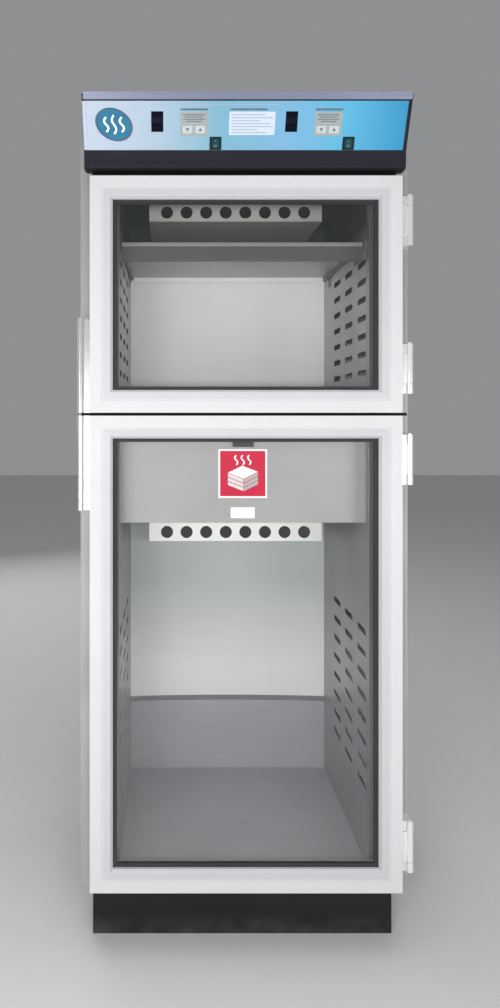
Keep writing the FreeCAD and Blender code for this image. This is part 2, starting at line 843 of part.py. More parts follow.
shelf_half = chamber_half - shelf_side_clearance
shelf_front = body_front + shelf_front_setback
shelf_rear = chamber_back - shelf_rear_clearance
shelf_tray = cut(
    box(-shelf_half, shelf_half, shelf_front, shelf_rear, shelf_bottom, shelf_level),
    [box(liner_sheet - shelf_half, shelf_half - liner_sheet, shelf_front + liner_sheet,
         shelf_rear - liner_sheet, shelf_bottom - SPARE, shelf_level - liner_sheet)])
rib_front = shelf_front + shelf_rib_setback
shelf_rib = box(liner_sheet - shelf_half, shelf_half - liner_sheet, rib_front,
                rib_front + shelf_rib_width, shelf_level - liner_sheet - shelf_rib_height,
                shelf_level - liner_sheet)
apron_bottom = shelf_level - shelf_apron_height
shelf_apron = box(-shelf_half, shelf_half, shelf_front, shelf_front + liner_sheet,
                  apron_bottom, shelf_level)
apron_hem = box(-shelf_half, shelf_half, shelf_front, shelf_front + shelf_apron_hem,
                apron_bottom, apron_bottom + liner_sheet)
subpart("upper_shelf", fuse([shelf_tray, shelf_rib, shelf_apron, apron_hem]))


def shelf_clip(side, deep):
    """Small bracket on a duct panel, with a ledge under the shelf's lip."""
    wall = side * chamber_half
    plate = wall - side * liner_sheet
    tip = wall - side * clip_reach
    front = deep - clip_width / 2
    rear = deep + clip_width / 2
    left, right = (wall, plate) if side < 0 else (plate, wall)
    upright = box(left, right, front, rear, shelf_bottom - clip_height, shelf_bottom)
    left, right = (wall, tip) if side < 0 else (tip, wall)
    ledge = box(left, right, front, rear, shelf_bottom - clip_ledge, shelf_bottom)
    return fuse([upright, ledge])


subpart("shelf_clips", group([shelf_clip(side, deep) for side in (-1, 1)
                              for deep in (shelf_front + clip_end_inset, shelf_rear - clip_end_inset)]))

# ---------------------------------------------------------------------------------------
# Blowers and heaters: one set above each chamber
# ---------------------------------------------------------------------------------------


def blower_drum(base):
    """Round housing open to the ceiling, with four side windows and a shaft hole."""
    outer = rod(drum_radius, drum_height, as_size(0), blower_centre, base)
    inside = rod(drum_radius - sheet_wall, drum_height - sheet_wall + SPARE, as_size(0), blower_centre,
                 base - SPARE)
    shaft_hole = rod(shaft_radius + drum_shaft_gap, sheet_wall + 2 * SPARE, as_size(0), blower_centre,
                     base + drum_height - sheet_wall - SPARE)
    low = base + drum_window_rise
    high = low + drum_window_height
    half = drum_window_width / 2
    reach = drum_radius + SPARE
    windows = [box(-half, half, blower_centre - reach, blower_centre + reach, low, high),
               box(-reach, reach, blower_centre - half, blower_centre + half, low, high)]
    return cut(outer, [fuse([inside, shaft_hole] + windows)])


def blower_motor(base):
    """Motor on top of the drum, with a blind bore for the shaft."""
    seat = base + drum_height
    case = rod(motor_radius, motor_height, as_size(0), blower_centre, seat)
    bore = rod(shaft_radius + shaft_clearance, shaft_in_motor + shaft_end_gap + SPARE, as_size(0),
               blower_centre, seat - SPARE)
    return cut(case, [bore])


def fan_wheel(name, base):
    """Moulded wheel: back plate and hub, blades repeated round the axis."""
    wheel = new_body(name)
    for outer_radius, height in ((fan_radius, fan_plate), (fan_hub_radius, fan_height / 2)):
        ring_sketch = new_sketch(wheel, "XY_Plane")
        for radius in (outer_radius, shaft_radius):
            circle = Part.Circle(Vector(), Vector(0, 0, 1), radius.number)
            index = ring_sketch.addGeometry(circle)
            ring_sketch.addConstraint(Sketcher.Constraint("Coincident", index, 3, -1, 1))
            rule = ring_sketch.addConstraint(Sketcher.Constraint("Radius", index, radius.number))
            ring_sketch.setExpression(f"Constraints[{rule}]", radius.formula)
        pad(wheel, ring_sketch, height)
    blade = new_sketch(wheel, "XY_Plane")
    outer = fan_radius - fan_rim
    inner = outer - fan_blade_length
    half = fan_blade_thickness / 2
    add_outline(blade, [(inner, -half), (outer, -half), (outer, half), (inner, half)])
    blade_pad = pad(wheel, blade, fan_height)
    ring = wheel.newObject("PartDesign::PolarPattern", "blades")
    ring.Originals = [blade_pad]
    ring.Axis = (blade, ["N_Axis"])
    ring.Occurrences = fan_blade_count
    wheel.Tip = ring
    move_to(wheel, as_size(0), blower_centre, base + fan_rise)
    return wheel


def fan_shaft(base):
    """Shaft from the wheel into the motor."""
    start = base + fan_rise
    return rod(shaft_radius, base + drum_height + shaft_in_motor - start, as_size(0), blower_centre,
               start)


def heater_ring(base):
    """Tubular ring element on two legs that stand on the ceiling sheet."""
    ring = doc.addObject("Part::Torus", "ring")
    bind(ring, "Radius1", heater_radius)
    bind(ring, "Radius2", heater_tube_radius)
    move_to(ring, as_size(0), blower_centre, base + heater_rise)
    legs = [rod(heater_leg_radius, heater_rise, side * heater_radius, blower_centre, base)
            for side in (-1, 1)]
    return fuse([ring] + legs)


blower_bases = {"upper": upper_ceiling_level + liner_sheet, "lower": lower_ceiling_level + liner_sheet}
subpart("blower_housings", group([blower_drum(base) for base in blower_bases.values()]))
subpart("blower_motors", group([blower_motor(base) for base in blower_bases.values()]))
subpart("heater_elements", group([heater_ring(base) for base in blower_bases.values()]))
for unit, base in blower_bases.items():
    subpart(f"{unit}_fan_wheel", group([fan_wheel(f"{unit}_wheel", base), fan_shaft(base)]))

# ---------------------------------------------------------------------------------------
# Doors
# ---------------------------------------------------------------------------------------


def member_section(edge, inward):
    """Hollow door member in (along, deep): face groove, bevelled lip and glazing slot."""
    def at(distance):
        return edge + inward * distance

    groove_end = groove_start + groove_width
    lip = member_width - bevel_width
    slot_end = member_width - slot_depth
    slot_rear = slot_front + slot_width
    outer = [(at(as_size(0)), door_front), (at(groove_start), door_front),
             (at(groove_start), door_front + groove_depth), (at(groove_end), door_front + groove_depth),
             (at(groove_end), door_front), (at(lip), door_front),
             (at(member_width), door_front + bevel_width), (at(member_width), door_front + slot_front),
             (at(slot_end), door_front + slot_front), (at(slot_end), door_front + slot_rear),
             (at(member_width), door_front + slot_rear), (at(member_width), door_rear),
             (at(as_size(0)), door_rear)]
    near = at(member_wall)
    far = at(slot_end - member_wall)
    front = door_front + member_wall + groove_depth
    rear = door_rear - member_wall
    return outer, [(near, front), (far, front), (far, rear), (near, rear)]


def mitre_corners(bottom, top, keep_upright):
    """Two triangles in (across, up) that take a member's ends off at 45 degrees, for each side."""
    reach = member_width + SPARE
    triangles = []
    for side in (-1, 1):
        edge = side * door_half
        out = edge + side * SPARE
        deep = edge - side * reach
        for level, turn in ((bottom, 1), (top, -1)):
            outside = level - turn * SPARE
            inside = level + turn * reach
            if keep_upright:
                triangles.append((side, level, [(out, outside), (deep, outside), (deep, inside)]))
            else:
                triangles.append((side, level, [(out, outside), (out, inside), (deep, inside)]))
    return triangles


def door_stile(side, bottom, top):
    """Upright member with mitred ends."""
    body = new_body("door_stile")
    sketch = new_sketch(body, "XY_Plane")
    for corners in member_section(side * door_half, -side):
        add_outline(sketch, corners)
    pad(body, sketch, top - bottom)
    bind(sketch, "AttachmentOffset.Base.z", bottom)
    mitre = new_sketch(body, "XZ_Plane")
    for cut_side, _, corners in mitre_corners(bottom, top, True):
        if cut_side == side:
            add_outline(mitre, corners)
    pocket_through(body, mitre)
    return body


def door_rail(edge, inward, bottom, top):
    """Level member with mitred ends."""
    body = new_body("door_rail")
    sketch = new_sketch(body, "YZ_Plane")
    for corners in member_section(edge, inward):
        add_outline(sketch, swap(corners))
    pad(body, sketch, door_width, symmetric=True)
    mitre = new_sketch(body, "XZ_Plane")
    for _, level, corners in mitre_corners(bottom, top, False):
        if level is edge:
            add_outline(mitre, corners)
    pocket_through(body, mitre)
    return body


def door_frame_ring(inset, inner_inset, front, rear, bottom, top):
    """Rectangular ring parallel to the door's edges."""
    outer = box(inset - door_half, door_half - inset, front, rear, bottom + inset, top - inset)
    inner = box(inner_inset - door_half, door_half - inner_inset, front - SPARE, rear + SPARE,
                bottom + inner_inset, top - inner_inset)
    return cut(outer, [inner])


def handle(bottom):
    """Edge pull: a leg on the door's side, a web and a rounded grip."""
    door_edge = -door_half
    tip = door_edge - handle_reach
    web_front = door_front + handle_web_setback
    web_rear = web_front + handle_sheet
    top = bottom + handle_height
    half_grip = grip_width / 2
    leg = box(door_edge - handle_sheet, door_edge, web_front, web_rear + handle_leg, bottom, top)
    web = box(tip + half_grip, door_edge, web_front, web_rear, bottom, top)
    grip_rear = web_rear + handle_sheet
    grip_front = grip_rear - grip_depth
    bar = box(tip, tip + grip_width, grip_front + half_grip, grip_rear - half_grip, bottom, top)
    rounds = [rod(half_grip, handle_height, tip + half_grip, deep, bottom)
              for deep in (grip_front + half_grip, grip_rear - half_grip)]
    holes = handle_screw_rods(screw_radius, door_edge - handle_sheet - SPARE, handle_sheet + SPARE,
                              bottom)
    return cut(fuse([leg, web, bar] + rounds), holes)


def handle_screw_rods(radius, start, length, bottom):
    """A rod at each of the handle's two screws."""
    deep = door_front + handle_web_setback + handle_sheet + handle_leg / 2
    levels = (bottom + handle_screw_inset, bottom + handle_height - handle_screw_inset)
    return [rod(radius, length, start, deep, level, "x") for level in levels]


def handle_screws(bottom):
    """Two screws through the leg into the stile."""
    door_edge = -door_half
    face = door_edge - handle_sheet
    shanks = handle_screw_rods(screw_radius, face, handle_sheet + member_wall, bottom)
    heads = handle_screw_rods(screw_head_radius, face - screw_head_height, screw_head_height, bottom)
    return group([fuse([shank, head]) for shank, head in zip(shanks, heads)])


def door_hinge_leaf(centre):
    """Barrel between the cabinet's knuckles, with a web and a plate on the door's edge."""
    height = hinge_height - 2 * hinge_block - 2 * knuckle_gap
    low = centre - height / 2
    high = centre + height / 2
    barrel = rod(barrel_radius, height, hinge_axis_across, hinge_axis_deep, low)
    web = box(door_half, hinge_axis_across, hinge_axis_deep - leaf_web / 2,
              hinge_axis_deep + leaf_web / 2, low, high)
    plate = box(door_half, door_half + leaf_plate, hinge_axis_deep - leaf_front_reach,
                hinge_axis_deep + leaf_rear_reach, low, high)
    bore = rod(pin_radius + pin_clearance, height + 2 * SPARE, hinge_axis_across, hinge_axis_deep,
               low - SPARE)
    return cut(fuse([barrel, web, plate]), [bore])


door_levels = {
    "upper": (upper_door_bottom, upper_door_top),
    "lower": (lower_door_bottom, lower_door_top),
}
hinge_centres = {}
for name, (bottom, top) in door_levels.items():
    stiles = []
    for side in (-1, 1):
        stile = door_stile(side, bottom, top)
        if side < 0:
            handle_bottom = bottom if name == "upper" else top - handle_height
            stile = cut(stile, handle_screw_rods(screw_radius, -door_half - SPARE, member_wall + SPARE,
                                                 handle_bottom))
        stiles.append(stile)
    subpart(f"{name}_door_stiles", group(stiles))
    subpart(f"{name}_door_rails", group([
        door_rail(bottom, 1, bottom, top),
        door_rail(top, -1, bottom, top)]))
    slot_end = member_width - slot_depth
    glass_inset = slot_end + glass_edge_gap
    glass_front = door_front + slot_front + (slot_width - glass_thickness) / 2
    glass_edges = (glass_inset - door_half, door_half - glass_inset, glass_front,
                   glass_front + glass_thickness, bottom + glass_inset, top - glass_inset)
    subpart(f"{name}_door_glass", box(*glass_edges))
    seal_ring = door_frame_ring(slot_end + seal_clearance, member_width + seal_lip,
                                door_front + slot_front + seal_clearance,
                                door_front + slot_front + slot_width - seal_clearance, bottom, top)
    subpart(f"{name}_glazing_seal", cut(seal_ring, [box(*glass_edges)]))
    subpart(f"{name}_door_gasket", door_frame_ring(gasket_inset, gasket_inset + gasket_width, door_rear,
                                                   door_rear + gasket_depth, bottom, top))
    subpart(f"{name}_door_handle", handle(handle_bottom))
    subpart(f"{name}_handle_screws", handle_screws(handle_bottom))
    hinge_centres[name] = (bottom + hinge_inset, top - hinge_inset)
    subpart(f"{name}_door_hinge_leaves", group([door_hinge_leaf(centre)
                                                for centre in hinge_centres[name]]))


def hinge_bracket(centre):
    """Cabinet half of a hinge: a plate on the front flange and two knuckle blocks."""
    low = centre - hinge_height / 2
    high = centre + hinge_height / 2
    inner = hinge_axis_across - block_reach
    outer = hinge_axis_across + barrel_radius
    pieces = [box(inner, outer, body_front - leaf_plate, body_front, low, high)]
    for bottom in (low, high - hinge_block):
        pieces.append(box(inner, outer, hinge_axis_deep, body_front, bottom, bottom + hinge_block))
        pieces.append(rod(barrel_radius, hinge_block, hinge_axis_across, hinge_axis_deep, bottom))
    bore = rod(pin_radius, hinge_height + 2 * SPARE, hinge_axis_across, hinge_axis_deep, low - SPARE)
    return cut(fuse(pieces), [bore])


def hinge_pin(centre):
    """Pin with a flat head on top."""
    low = centre - hinge_height / 2
    shank = rod(pin_radius, hinge_height, hinge_axis_across, hinge_axis_deep, low)
    head = rod(pin_head_radius, pin_head_height, hinge_axis_across, hinge_axis_deep, low + hinge_height)
    return fuse([shank, head])


all_hinge_centres = hinge_centres["upper"] + hinge_centres["lower"]
subpart("frame_hinge_brackets", group([hinge_bracket(centre) for centre in all_hinge_centres]))
subpart("hinge_pins", group([hinge_pin(centre) for centre in all_hinge_centres]))

# ---------------------------------------------------------------------------------------
# Control hood: sloped shell, end caps, top trim, overlay and controls
# ---------------------------------------------------------------------------------------

face_length = root(face_lean * face_lean + face_height * face_height)
shell_top = total_height - trim_sheet
face_top_deep = 0 - total_depth / 2 + trim_sheet * (face_length + face_lean) / face_height
face_foot_deep = face_top_deep + face_lean
face_foot_level = shell_top - face_height

hood_rear = body_front + hood_over_top
outer_path = [(hood_rear, body_top), (hood_rear, shell_top), (face_top_deep, shell_top),
              (face_foot_deep, face_foot_level), (face_foot_deep, hood_bottom),
              (body_front, hood_bottom)]
inner_top = shell_top - hood_wall
inner_path = [
    (body_front, hood_bottom + hood_wall), (face_foot_deep + hood_wall, hood_bottom + hood_wall),
    (face_foot_deep + hood_wall, face_foot_level + hood_wall * (face_length - face_height) / face_lean),
    (face_top_deep + hood_wall * (face_length + face_lean) / face_height, inner_top),
    (hood_rear - hood_wall, inner_top), (hood_rear - hood_wall, body_top)]
shell_half = hood_width / 2 - end_cap_width
hood_body = section_along_x("hood_body", outer_path + inner_path, shell_half * 2)
doc.recompute()
inner_corner = edges_at(hood_body.Shape, y=face_foot_deep + hood_wall, z=hood_bottom + hood_wall)
fillet(hood_body, inner_corner, hood_corner_radius - hood_wall)
doc.recompute()
outer_corner = edges_at(hood_body.Shape, y=face_foot_deep, z=hood_bottom)
fillet(hood_body, outer_corner, hood_corner_radius)


def on_face(item):
    """Stand an object, drawn in (across, up the slope, outwards), on the hood's sloped face."""
    slope = math.degrees(math.atan2(face_lean.number, face_height.number))
    item.Placement = Placement(Vector(), Rotation(Vector(1, 0, 0), 90 + slope))
    tilt = f"90 deg + atan({face_lean.formula} / {face_height.formula})"
    item.setExpression("Placement.Rotation.Angle", tilt)
    move_to(item, as_size(0), face_foot_deep, face_foot_level)
    return item


def centred_box(across, up, width, height, inner, outer):
    """Box about a point of the face, between two depths."""
    return box(across - width / 2, across + width / 2, up - height / 2, up + height / 2, inner, outer)


controls = {"upper": upper_control_across, "lower": lower_control_across}
overlay_top = overlay_thickness
apertures_shell = []
apertures_overlay = []
for across in controls.values():
    openings = [(across - display_from_keys, display_centre_up, display_width, display_height)]
    openings += [(across + side * key_pitch / 2, key_centre_up, key_width, key_height)
                 for side in (-1, 1)]
    openings.append((across + switch_from_keys, switch_centre_up, switch_width - 2 * switch_body_inset,
                     switch_height - 2 * switch_body_inset))
    for centre, up, width, height in openings:
        wide = width + 2 * aperture_clearance
        high = height + 2 * aperture_clearance
        apertures_shell.append(centred_box(centre, up, wide, high, -hood_wall - SPARE, as_size(SPARE)))
        apertures_overlay.append(centred_box(centre, up, wide, high, as_size(-SPARE),
                                             overlay_top + SPARE))

subpart("hood_shell", cut(hood_body, [on_face(group(apertures_shell))]))


def end_cap(side):
    """Moulded cap that closes one end of the hood, rounded towards the outside."""
    body = new_body("end_cap")
    sketch = new_sketch(body, "YZ_Plane")
    add_outline(sketch, outer_path + [(body_front, body_top)])
    pad(body, sketch, end_cap_width)
    bind(sketch, "AttachmentOffset.Base.z", shell_half if side > 0 else -shell_half - end_cap_width)
    doc.recompute()
    outside = side * (shell_half + end_cap_width)
    fillet(body, edges_at(body.Shape, y=face_foot_deep, z=hood_bottom), hood_corner_radius)
    doc.recompute()
    rim = []
    for index, edge in enumerate(body.Shape.Edges, 1):
        centre = edge.CenterOfMass
        on_outside = abs(centre.x - outside.number) < TOUCH
        if on_outside and centre.y < body_front.number - TOUCH and centre.z < shell_top.number - TOUCH:
            rim.append(f"Edge{index}")
    fillet(body, rim, end_cap_rounding)
    return body


subpart("hood_end_caps", group([end_cap(-1), end_cap(1)]))

# The trim strip folds over the hood's top front edge.
along_deep = face_lean / face_length
along_level = face_height / face_length
trim_front = 0 - total_depth / 2
trim_outer_foot = (trim_front + trim_face_width * along_deep, total_height - trim_face_width * along_level)
trim_inner_foot = (trim_outer_foot[0] + trim_sheet * along_level,
                   trim_outer_foot[1] + trim_sheet * along_deep)
trim_rear = face_top_deep + trim_top_width
trim_corners = [(trim_rear, total_height), (trim_front, total_height), trim_outer_foot, trim_inner_foot,
                (face_top_deep, shell_top), (trim_rear, shell_top)]
subpart("hood_trim", section_along_x("hood_trim", trim_corners, hood_width - end_cap_rounding))

overlay_sheet = box(-shell_half, shell_half, overlay_foot_margin,
                    face_length - trim_face_width - overlay_top_margin, as_size(0), overlay_top)
subpart("control_overlay", on_face(cut(overlay_sheet, apertures_overlay)))
subpart("display_modules", on_face(group([
    centred_box(across - display_from_keys, display_centre_up, display_width, display_height,
                -display_depth, overlay_top)
    for across in controls.values()])))

for unit, across in controls.items():
    for task, side in (("cooler", -1), ("warmer", 1)):
        subpart(f"{unit}_{task}_key", on_face(group([
            centred_box(across + side * key_pitch / 2, key_centre_up, key_width, key_height,
                        overlay_top + key_proud - key_depth, overlay_top + key_proud)])))

rocker_length = 2 * rocker_radius
pocket_floor = overlay_top - rocker_radius - rocker_clearance
switch_bodies = []
for across in controls.values():
    centre = across + switch_from_keys
    flange = centred_box(centre, switch_centre_up, switch_width, switch_height, overlay_top,
                         overlay_top + switch_flange)
    case = centred_box(centre, switch_centre_up, switch_width - 2 * switch_body_inset,
                       switch_height - 2 * switch_body_inset, pocket_floor - switch_floor, overlay_top)
    well = centred_box(centre, switch_centre_up, rocker_width + 2 * rocker_clearance,
                       rocker_length + 2 * rocker_clearance, pocket_floor,
                       overlay_top + switch_flange + SPARE)
    switch_bodies.append(cut(fuse([flange, case]), [well]))
subpart("switch_bezels", on_face(group(switch_bodies)))


def rocker(across):
    """Rocker: a round back that turns in the well, under a flat half and a half that slopes in."""
    half = rocker_width / 2
    drum = rod(rocker_radius, rocker_width, across - half, switch_centre_up, overlay_top, "x")
    top = box(across - half, across + half, switch_centre_up - rocker_radius,
              switch_centre_up + rocker_radius, overlay_top, overlay_top + rocker_top)
    above = doc.addObject("Part::Wedge", "above")
    wide = rocker_width + 2 * SPARE
    for prop, value in (("Xmin", 0), ("Xmax", wide), ("X2min", 0), ("X2max", wide),
                        ("Ymin", 0), ("Ymax", rocker_radius),
                        ("Zmin", rocker_top), ("Zmax", rocker_top + rocker_radius),
                        ("Z2min", rocker_top - rocker_drop), ("Z2max", rocker_top + rocker_radius)):
        bind(above, prop, value)
    move_to(above, across - half - SPARE, switch_centre_up, overlay_top)
    crown = box(across - half - SPARE, across + half + SPARE, switch_centre_up - rocker_radius - SPARE,
                switch_centre_up, overlay_top + rocker_top, overlay_top + rocker_radius + SPARE)
    return cut(fuse([drum, top]), [fuse([above, crown])])


for unit, across in controls.items():
    subpart(f"{unit}_power_rocker", on_face(group([rocker(across + switch_from_keys)])))

# ---------------------------------------------------------------------------------------
# Control board behind the hood face, and the closed box for the supply wires at the rear
# ---------------------------------------------------------------------------------------

board_front = body_front - board_standoff
board_level = hood_bottom + board_rise
board_left = board_centre - board_width / 2
board_right = board_centre + board_width / 2
board_top = board_level + board_height
board_pieces = [box(board_left, board_right, board_front - board_thickness, board_front, board_level,
                    board_top)]
for across in (board_left + board_post_inset, board_right - board_post_inset):
    for level in (board_level + board_post_inset, board_top - board_post_inset):
        board_pieces.append(rod(board_post_radius, board_standoff, across, board_front, level, "y"))
component_face = board_front - board_thickness
component_bottom = board_level + component_rise
# Transformer, two relays and a terminal strip: (start, width, height, depth)
for start, width, height, depth in ((12, 44, 36, 11), (64, 20, 16, 9), (90, 20, 16, 9), (118, 48, 8, 6)):
    left = board_left + start
    board_pieces.append(box(left, left + width, component_face - depth, component_face,
                            component_bottom, component_bottom + height))
subpart("control_board", fuse(board_pieces))

subpart("supply_terminal_box", fuse([
    box(terminal_left, terminal_right, rear_face - terminal_depth, rear_face, terminal_bottom,
        terminal_top),
    box(terminal_left - terminal_lap, terminal_right + terminal_lap, rear_face,
        rear_face + terminal_cover, terminal_bottom - terminal_lap, terminal_top + terminal_lap),
]))

# ---------------------------------------------------------------------------------------
# Check every object, then write one STEP file for each piece
# ---------------------------------------------------------------------------------------

doc.recompute()
for item in doc.Objects:
    if "Invalid" in item.State or "Error" in item.State:
        raise RuntimeError(f"{item.Label}: {item.State}")
for item in subparts:
    if item.Shape.isNull() or not item.Shape.isValid() or not item.Shape.Solids:
        raise RuntimeError(f"{item.Label}: bad shape")
os.makedirs("parts", exist_ok=True)
for item in subparts:
    item.Shape.exportStep(os.path.join("parts", item.Label + ".step"))
print(len(subparts), "pieces written")
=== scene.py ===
import json
import math

import bmesh
import bpy
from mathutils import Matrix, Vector


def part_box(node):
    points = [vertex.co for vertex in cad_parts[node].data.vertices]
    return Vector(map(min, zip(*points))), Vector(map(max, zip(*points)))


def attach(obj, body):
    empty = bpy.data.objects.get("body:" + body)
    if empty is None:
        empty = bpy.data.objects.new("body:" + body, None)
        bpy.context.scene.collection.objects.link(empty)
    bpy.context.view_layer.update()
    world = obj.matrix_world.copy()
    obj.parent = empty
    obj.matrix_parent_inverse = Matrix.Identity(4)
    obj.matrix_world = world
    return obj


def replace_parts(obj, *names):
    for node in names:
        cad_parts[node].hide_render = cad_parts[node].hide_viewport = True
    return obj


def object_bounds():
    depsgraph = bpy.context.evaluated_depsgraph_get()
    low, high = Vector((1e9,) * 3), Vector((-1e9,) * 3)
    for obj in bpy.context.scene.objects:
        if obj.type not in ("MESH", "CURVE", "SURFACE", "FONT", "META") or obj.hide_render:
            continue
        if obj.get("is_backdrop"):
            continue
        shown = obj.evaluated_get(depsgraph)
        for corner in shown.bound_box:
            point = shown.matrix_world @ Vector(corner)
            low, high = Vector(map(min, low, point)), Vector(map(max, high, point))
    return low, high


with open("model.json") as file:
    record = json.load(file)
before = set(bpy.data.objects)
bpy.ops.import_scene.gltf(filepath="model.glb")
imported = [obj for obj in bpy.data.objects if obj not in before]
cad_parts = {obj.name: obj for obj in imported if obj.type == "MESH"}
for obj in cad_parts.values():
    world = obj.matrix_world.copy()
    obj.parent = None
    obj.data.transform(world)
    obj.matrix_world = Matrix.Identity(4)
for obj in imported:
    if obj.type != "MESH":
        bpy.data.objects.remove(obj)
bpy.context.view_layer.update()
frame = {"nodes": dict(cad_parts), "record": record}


# Plinth: four black painted steel plates that stand on edge under the cabinet, set back from its
# front and sides. Mops and trolley wheels leave grey scuffs and dust along their feet.
noise_low, noise_high = 0.3, 0.7
cloud_size, cloud_detail, grain_detail, patch_detail = 5.0, 2, 3, 4
grain_share = 0.5
same_spot, same_plane, sharp_bend = 2e-6, math.radians(0.4), math.radians(28)
flat_face_weight = 100
rides_on = {node: body for body, members in frame["record"]["behaviour"]["bodies"].items()
            for node in members}


def spread_noise(tree, vector, size, detail):
    """A soft noise over the object, as a value from 0 to 1."""
    noise = tree.nodes.new("ShaderNodeTexNoise")
    noise.inputs["Scale"].default_value = size
    noise.inputs["Detail"].default_value = detail
    tree.links.new(vector, noise.inputs["Vector"])
    stretch = tree.nodes.new("ShaderNodeMapRange")
    stretch.inputs["From Min"].default_value = noise_low
    stretch.inputs["From Max"].default_value = noise_high
    tree.links.new(noise.outputs[0], stretch.inputs["Value"])
    return stretch.outputs["Result"]


def ranged(tree, value, low, high):
    """A 0 to 1 value carried to the range low to high."""
    step = tree.nodes.new("ShaderNodeMapRange")
    step.inputs["To Min"].default_value = low
    step.inputs["To Max"].default_value = high
    tree.links.new(value, step.inputs["Value"])
    return step.outputs["Result"]


def blended(tree, value, first, second):
    """Two colours mixed by a 0 to 1 value; either may be a colour or a socket."""
    mix = tree.nodes.new("ShaderNodeMix")
    mix.data_type = "RGBA"
    tree.links.new(value, mix.inputs["Factor"])
    for entry, colour in ((mix.inputs[6], first), (mix.inputs[7], second)):
        if isinstance(colour, tuple):
            entry.default_value = (*colour, 1.0)
        else:
            tree.links.new(colour, entry)
    return mix.outputs[2]


def grained(name, light, dark, metallic, rough, spread, grain, stretch, relief):
    """A finish whose shade, gloss and relief follow a fine grain over wide soft clouds."""
    finish = bpy.data.materials.new(name)
    finish.use_nodes = True
    tree = finish.node_tree
    shader = tree.nodes["Principled BSDF"]
    shader.inputs["Metallic"].default_value = metallic
    place = tree.nodes.new("ShaderNodeTexCoord")
    drawn = tree.nodes.new("ShaderNodeMapping")
    drawn.inputs["Scale"].default_value = stretch
    tree.links.new(place.outputs["Object"], drawn.inputs["Vector"])
    fine = spread_noise(tree, drawn.outputs["Vector"], grain, grain_detail)
    wide = spread_noise(tree, place.outputs["Object"], cloud_size, cloud_detail)
    both = tree.nodes.new("ShaderNodeMath")
    both.operation = "MULTIPLY_ADD"
    both.inputs[1].default_value = grain_share
    tree.links.new(fine, both.inputs[0])
    tree.links.new(ranged(tree, wide, 0.0, 1.0 - grain_share), both.inputs[2])
    tree.links.new(blended(tree, both.outputs[0], dark, light), shader.inputs["Base Color"])
    tree.links.new(ranged(tree, both.outputs[0], rough + spread, rough - spread),
                   shader.inputs["Roughness"])
    bump = tree.nodes.new("ShaderNodeBump")
    bump.inputs["Distance"].default_value = relief
    tree.links.new(fine, bump.inputs["Height"])
    tree.links.new(bump.outputs["Normal"], shader.inputs["Normal"])
    return finish


def wear_and_shade_towards(finish, axis, start, end, patches, colour, rough, cover=0.0):
    """Adds a patchy tone to a finish, full at start and gone at end along one axis. It is real
    wear on some finishes and painted shade on others.

    Cover is the least share of the finish that the tone takes where it is full.
    """
    tree = finish.node_tree
    shader = tree.nodes["Principled BSDF"]
    place = tree.nodes.new("ShaderNodeTexCoord")
    split = tree.nodes.new("ShaderNodeSeparateXYZ")
    tree.links.new(place.outputs["Object"], split.inputs["Vector"])
    fade = tree.nodes.new("ShaderNodeMapRange")
    fade.inputs["From Min"].default_value = start
    fade.inputs["From Max"].default_value = end
    fade.inputs["To Min"].default_value = 1.0
    fade.inputs["To Max"].default_value = 0.0
    tree.links.new(split.outputs[axis], fade.inputs["Value"])
    toned = tree.nodes.new("ShaderNodeMath")
    toned.operation = "MULTIPLY"
    tree.links.new(fade.outputs["Result"], toned.inputs[0])
    patchy = spread_noise(tree, place.outputs["Object"], patches, patch_detail)
    tree.links.new(ranged(tree, patchy, cover, 1.0), toned.inputs[1])
    under = shader.inputs["Base Color"].links[0].from_socket
    tree.links.new(blended(tree, toned.outputs[0], under, colour), shader.inputs["Base Color"])
    gloss = shader.inputs["Roughness"].links[0].from_socket
    mix = tree.nodes.new("ShaderNodeMix")
    tree.links.new(toned.outputs[0], mix.inputs["Factor"])
    tree.links.new(gloss, mix.inputs[2])
    mix.inputs[3].default_value = rough
    tree.links.new(mix.outputs[0], shader.inputs["Roughness"])
    return finish


def joined_up(node):
    """The node's mesh as a bmesh, with its flat faces whole and its shared corners joined."""
    work = bmesh.new()
    work.from_mesh(frame["nodes"][node].data)
    bmesh.ops.remove_doubles(work, verts=work.verts, dist=same_spot)
    bmesh.ops.dissolve_limit(work, angle_limit=same_plane, verts=work.verts, edges=work.edges)
    return work


def put_in_place(name, work, finish, body, edge=0.0, segments=2):
    """Makes a bmesh into a piece with eased edges that rides on a body."""
    mesh = bpy.data.meshes.new(name)
    work.to_mesh(mesh)
    work.free()
    mesh.materials.clear()
    mesh.materials.append(finish)
    piece = bpy.data.objects.new(name, mesh)
    bpy.context.scene.collection.objects.link(piece)
    if edge:
        mesh.shade_smooth()
        ease = piece.modifiers.new("eased_edges", "BEVEL")
        ease.width = edge
        ease.segments = segments
        ease.limit_method = "ANGLE"
        ease.angle_limit = sharp_bend
        level = piece.modifiers.new("level_faces", "WEIGHTED_NORMAL")
        level.weight = flat_face_weight
    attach(piece, body)
    return piece


def eased(node, finish, edge, segments=2):
    """Stands in for a CAD node with the same form and its sharp edges eased."""
    piece = put_in_place(node + "_eased", joined_up(node), finish, rides_on[node],
                         edge, segments)
    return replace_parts(piece, node)


def finished(node, finish):
    """Gives a finish to a CAD node whose form is right as it is."""
    part = frame["nodes"][node]
    part.data.materials[0] = finish
    return part


def shine(finish, level):
    """Sets how strongly a painted, printed or moulded finish mirrors its surroundings."""
    finish.node_tree.nodes["Principled BSDF"].inputs["Specular IOR Level"].default_value = level


plinth_black = grained("plinth_black", (0.011, 0.011, 0.012), (0.006, 0.006, 0.007), 0.0, 0.50,
                       0.08, 900, (1, 1, 1), 0.00004)
shine(plinth_black, 0.3)
wear_and_shade_towards(plinth_black, "Z", 0.0, 0.045, 26, (0.045, 0.043, 0.040), 0.85)
eased("plinth_panels", plinth_black, 0.0012)


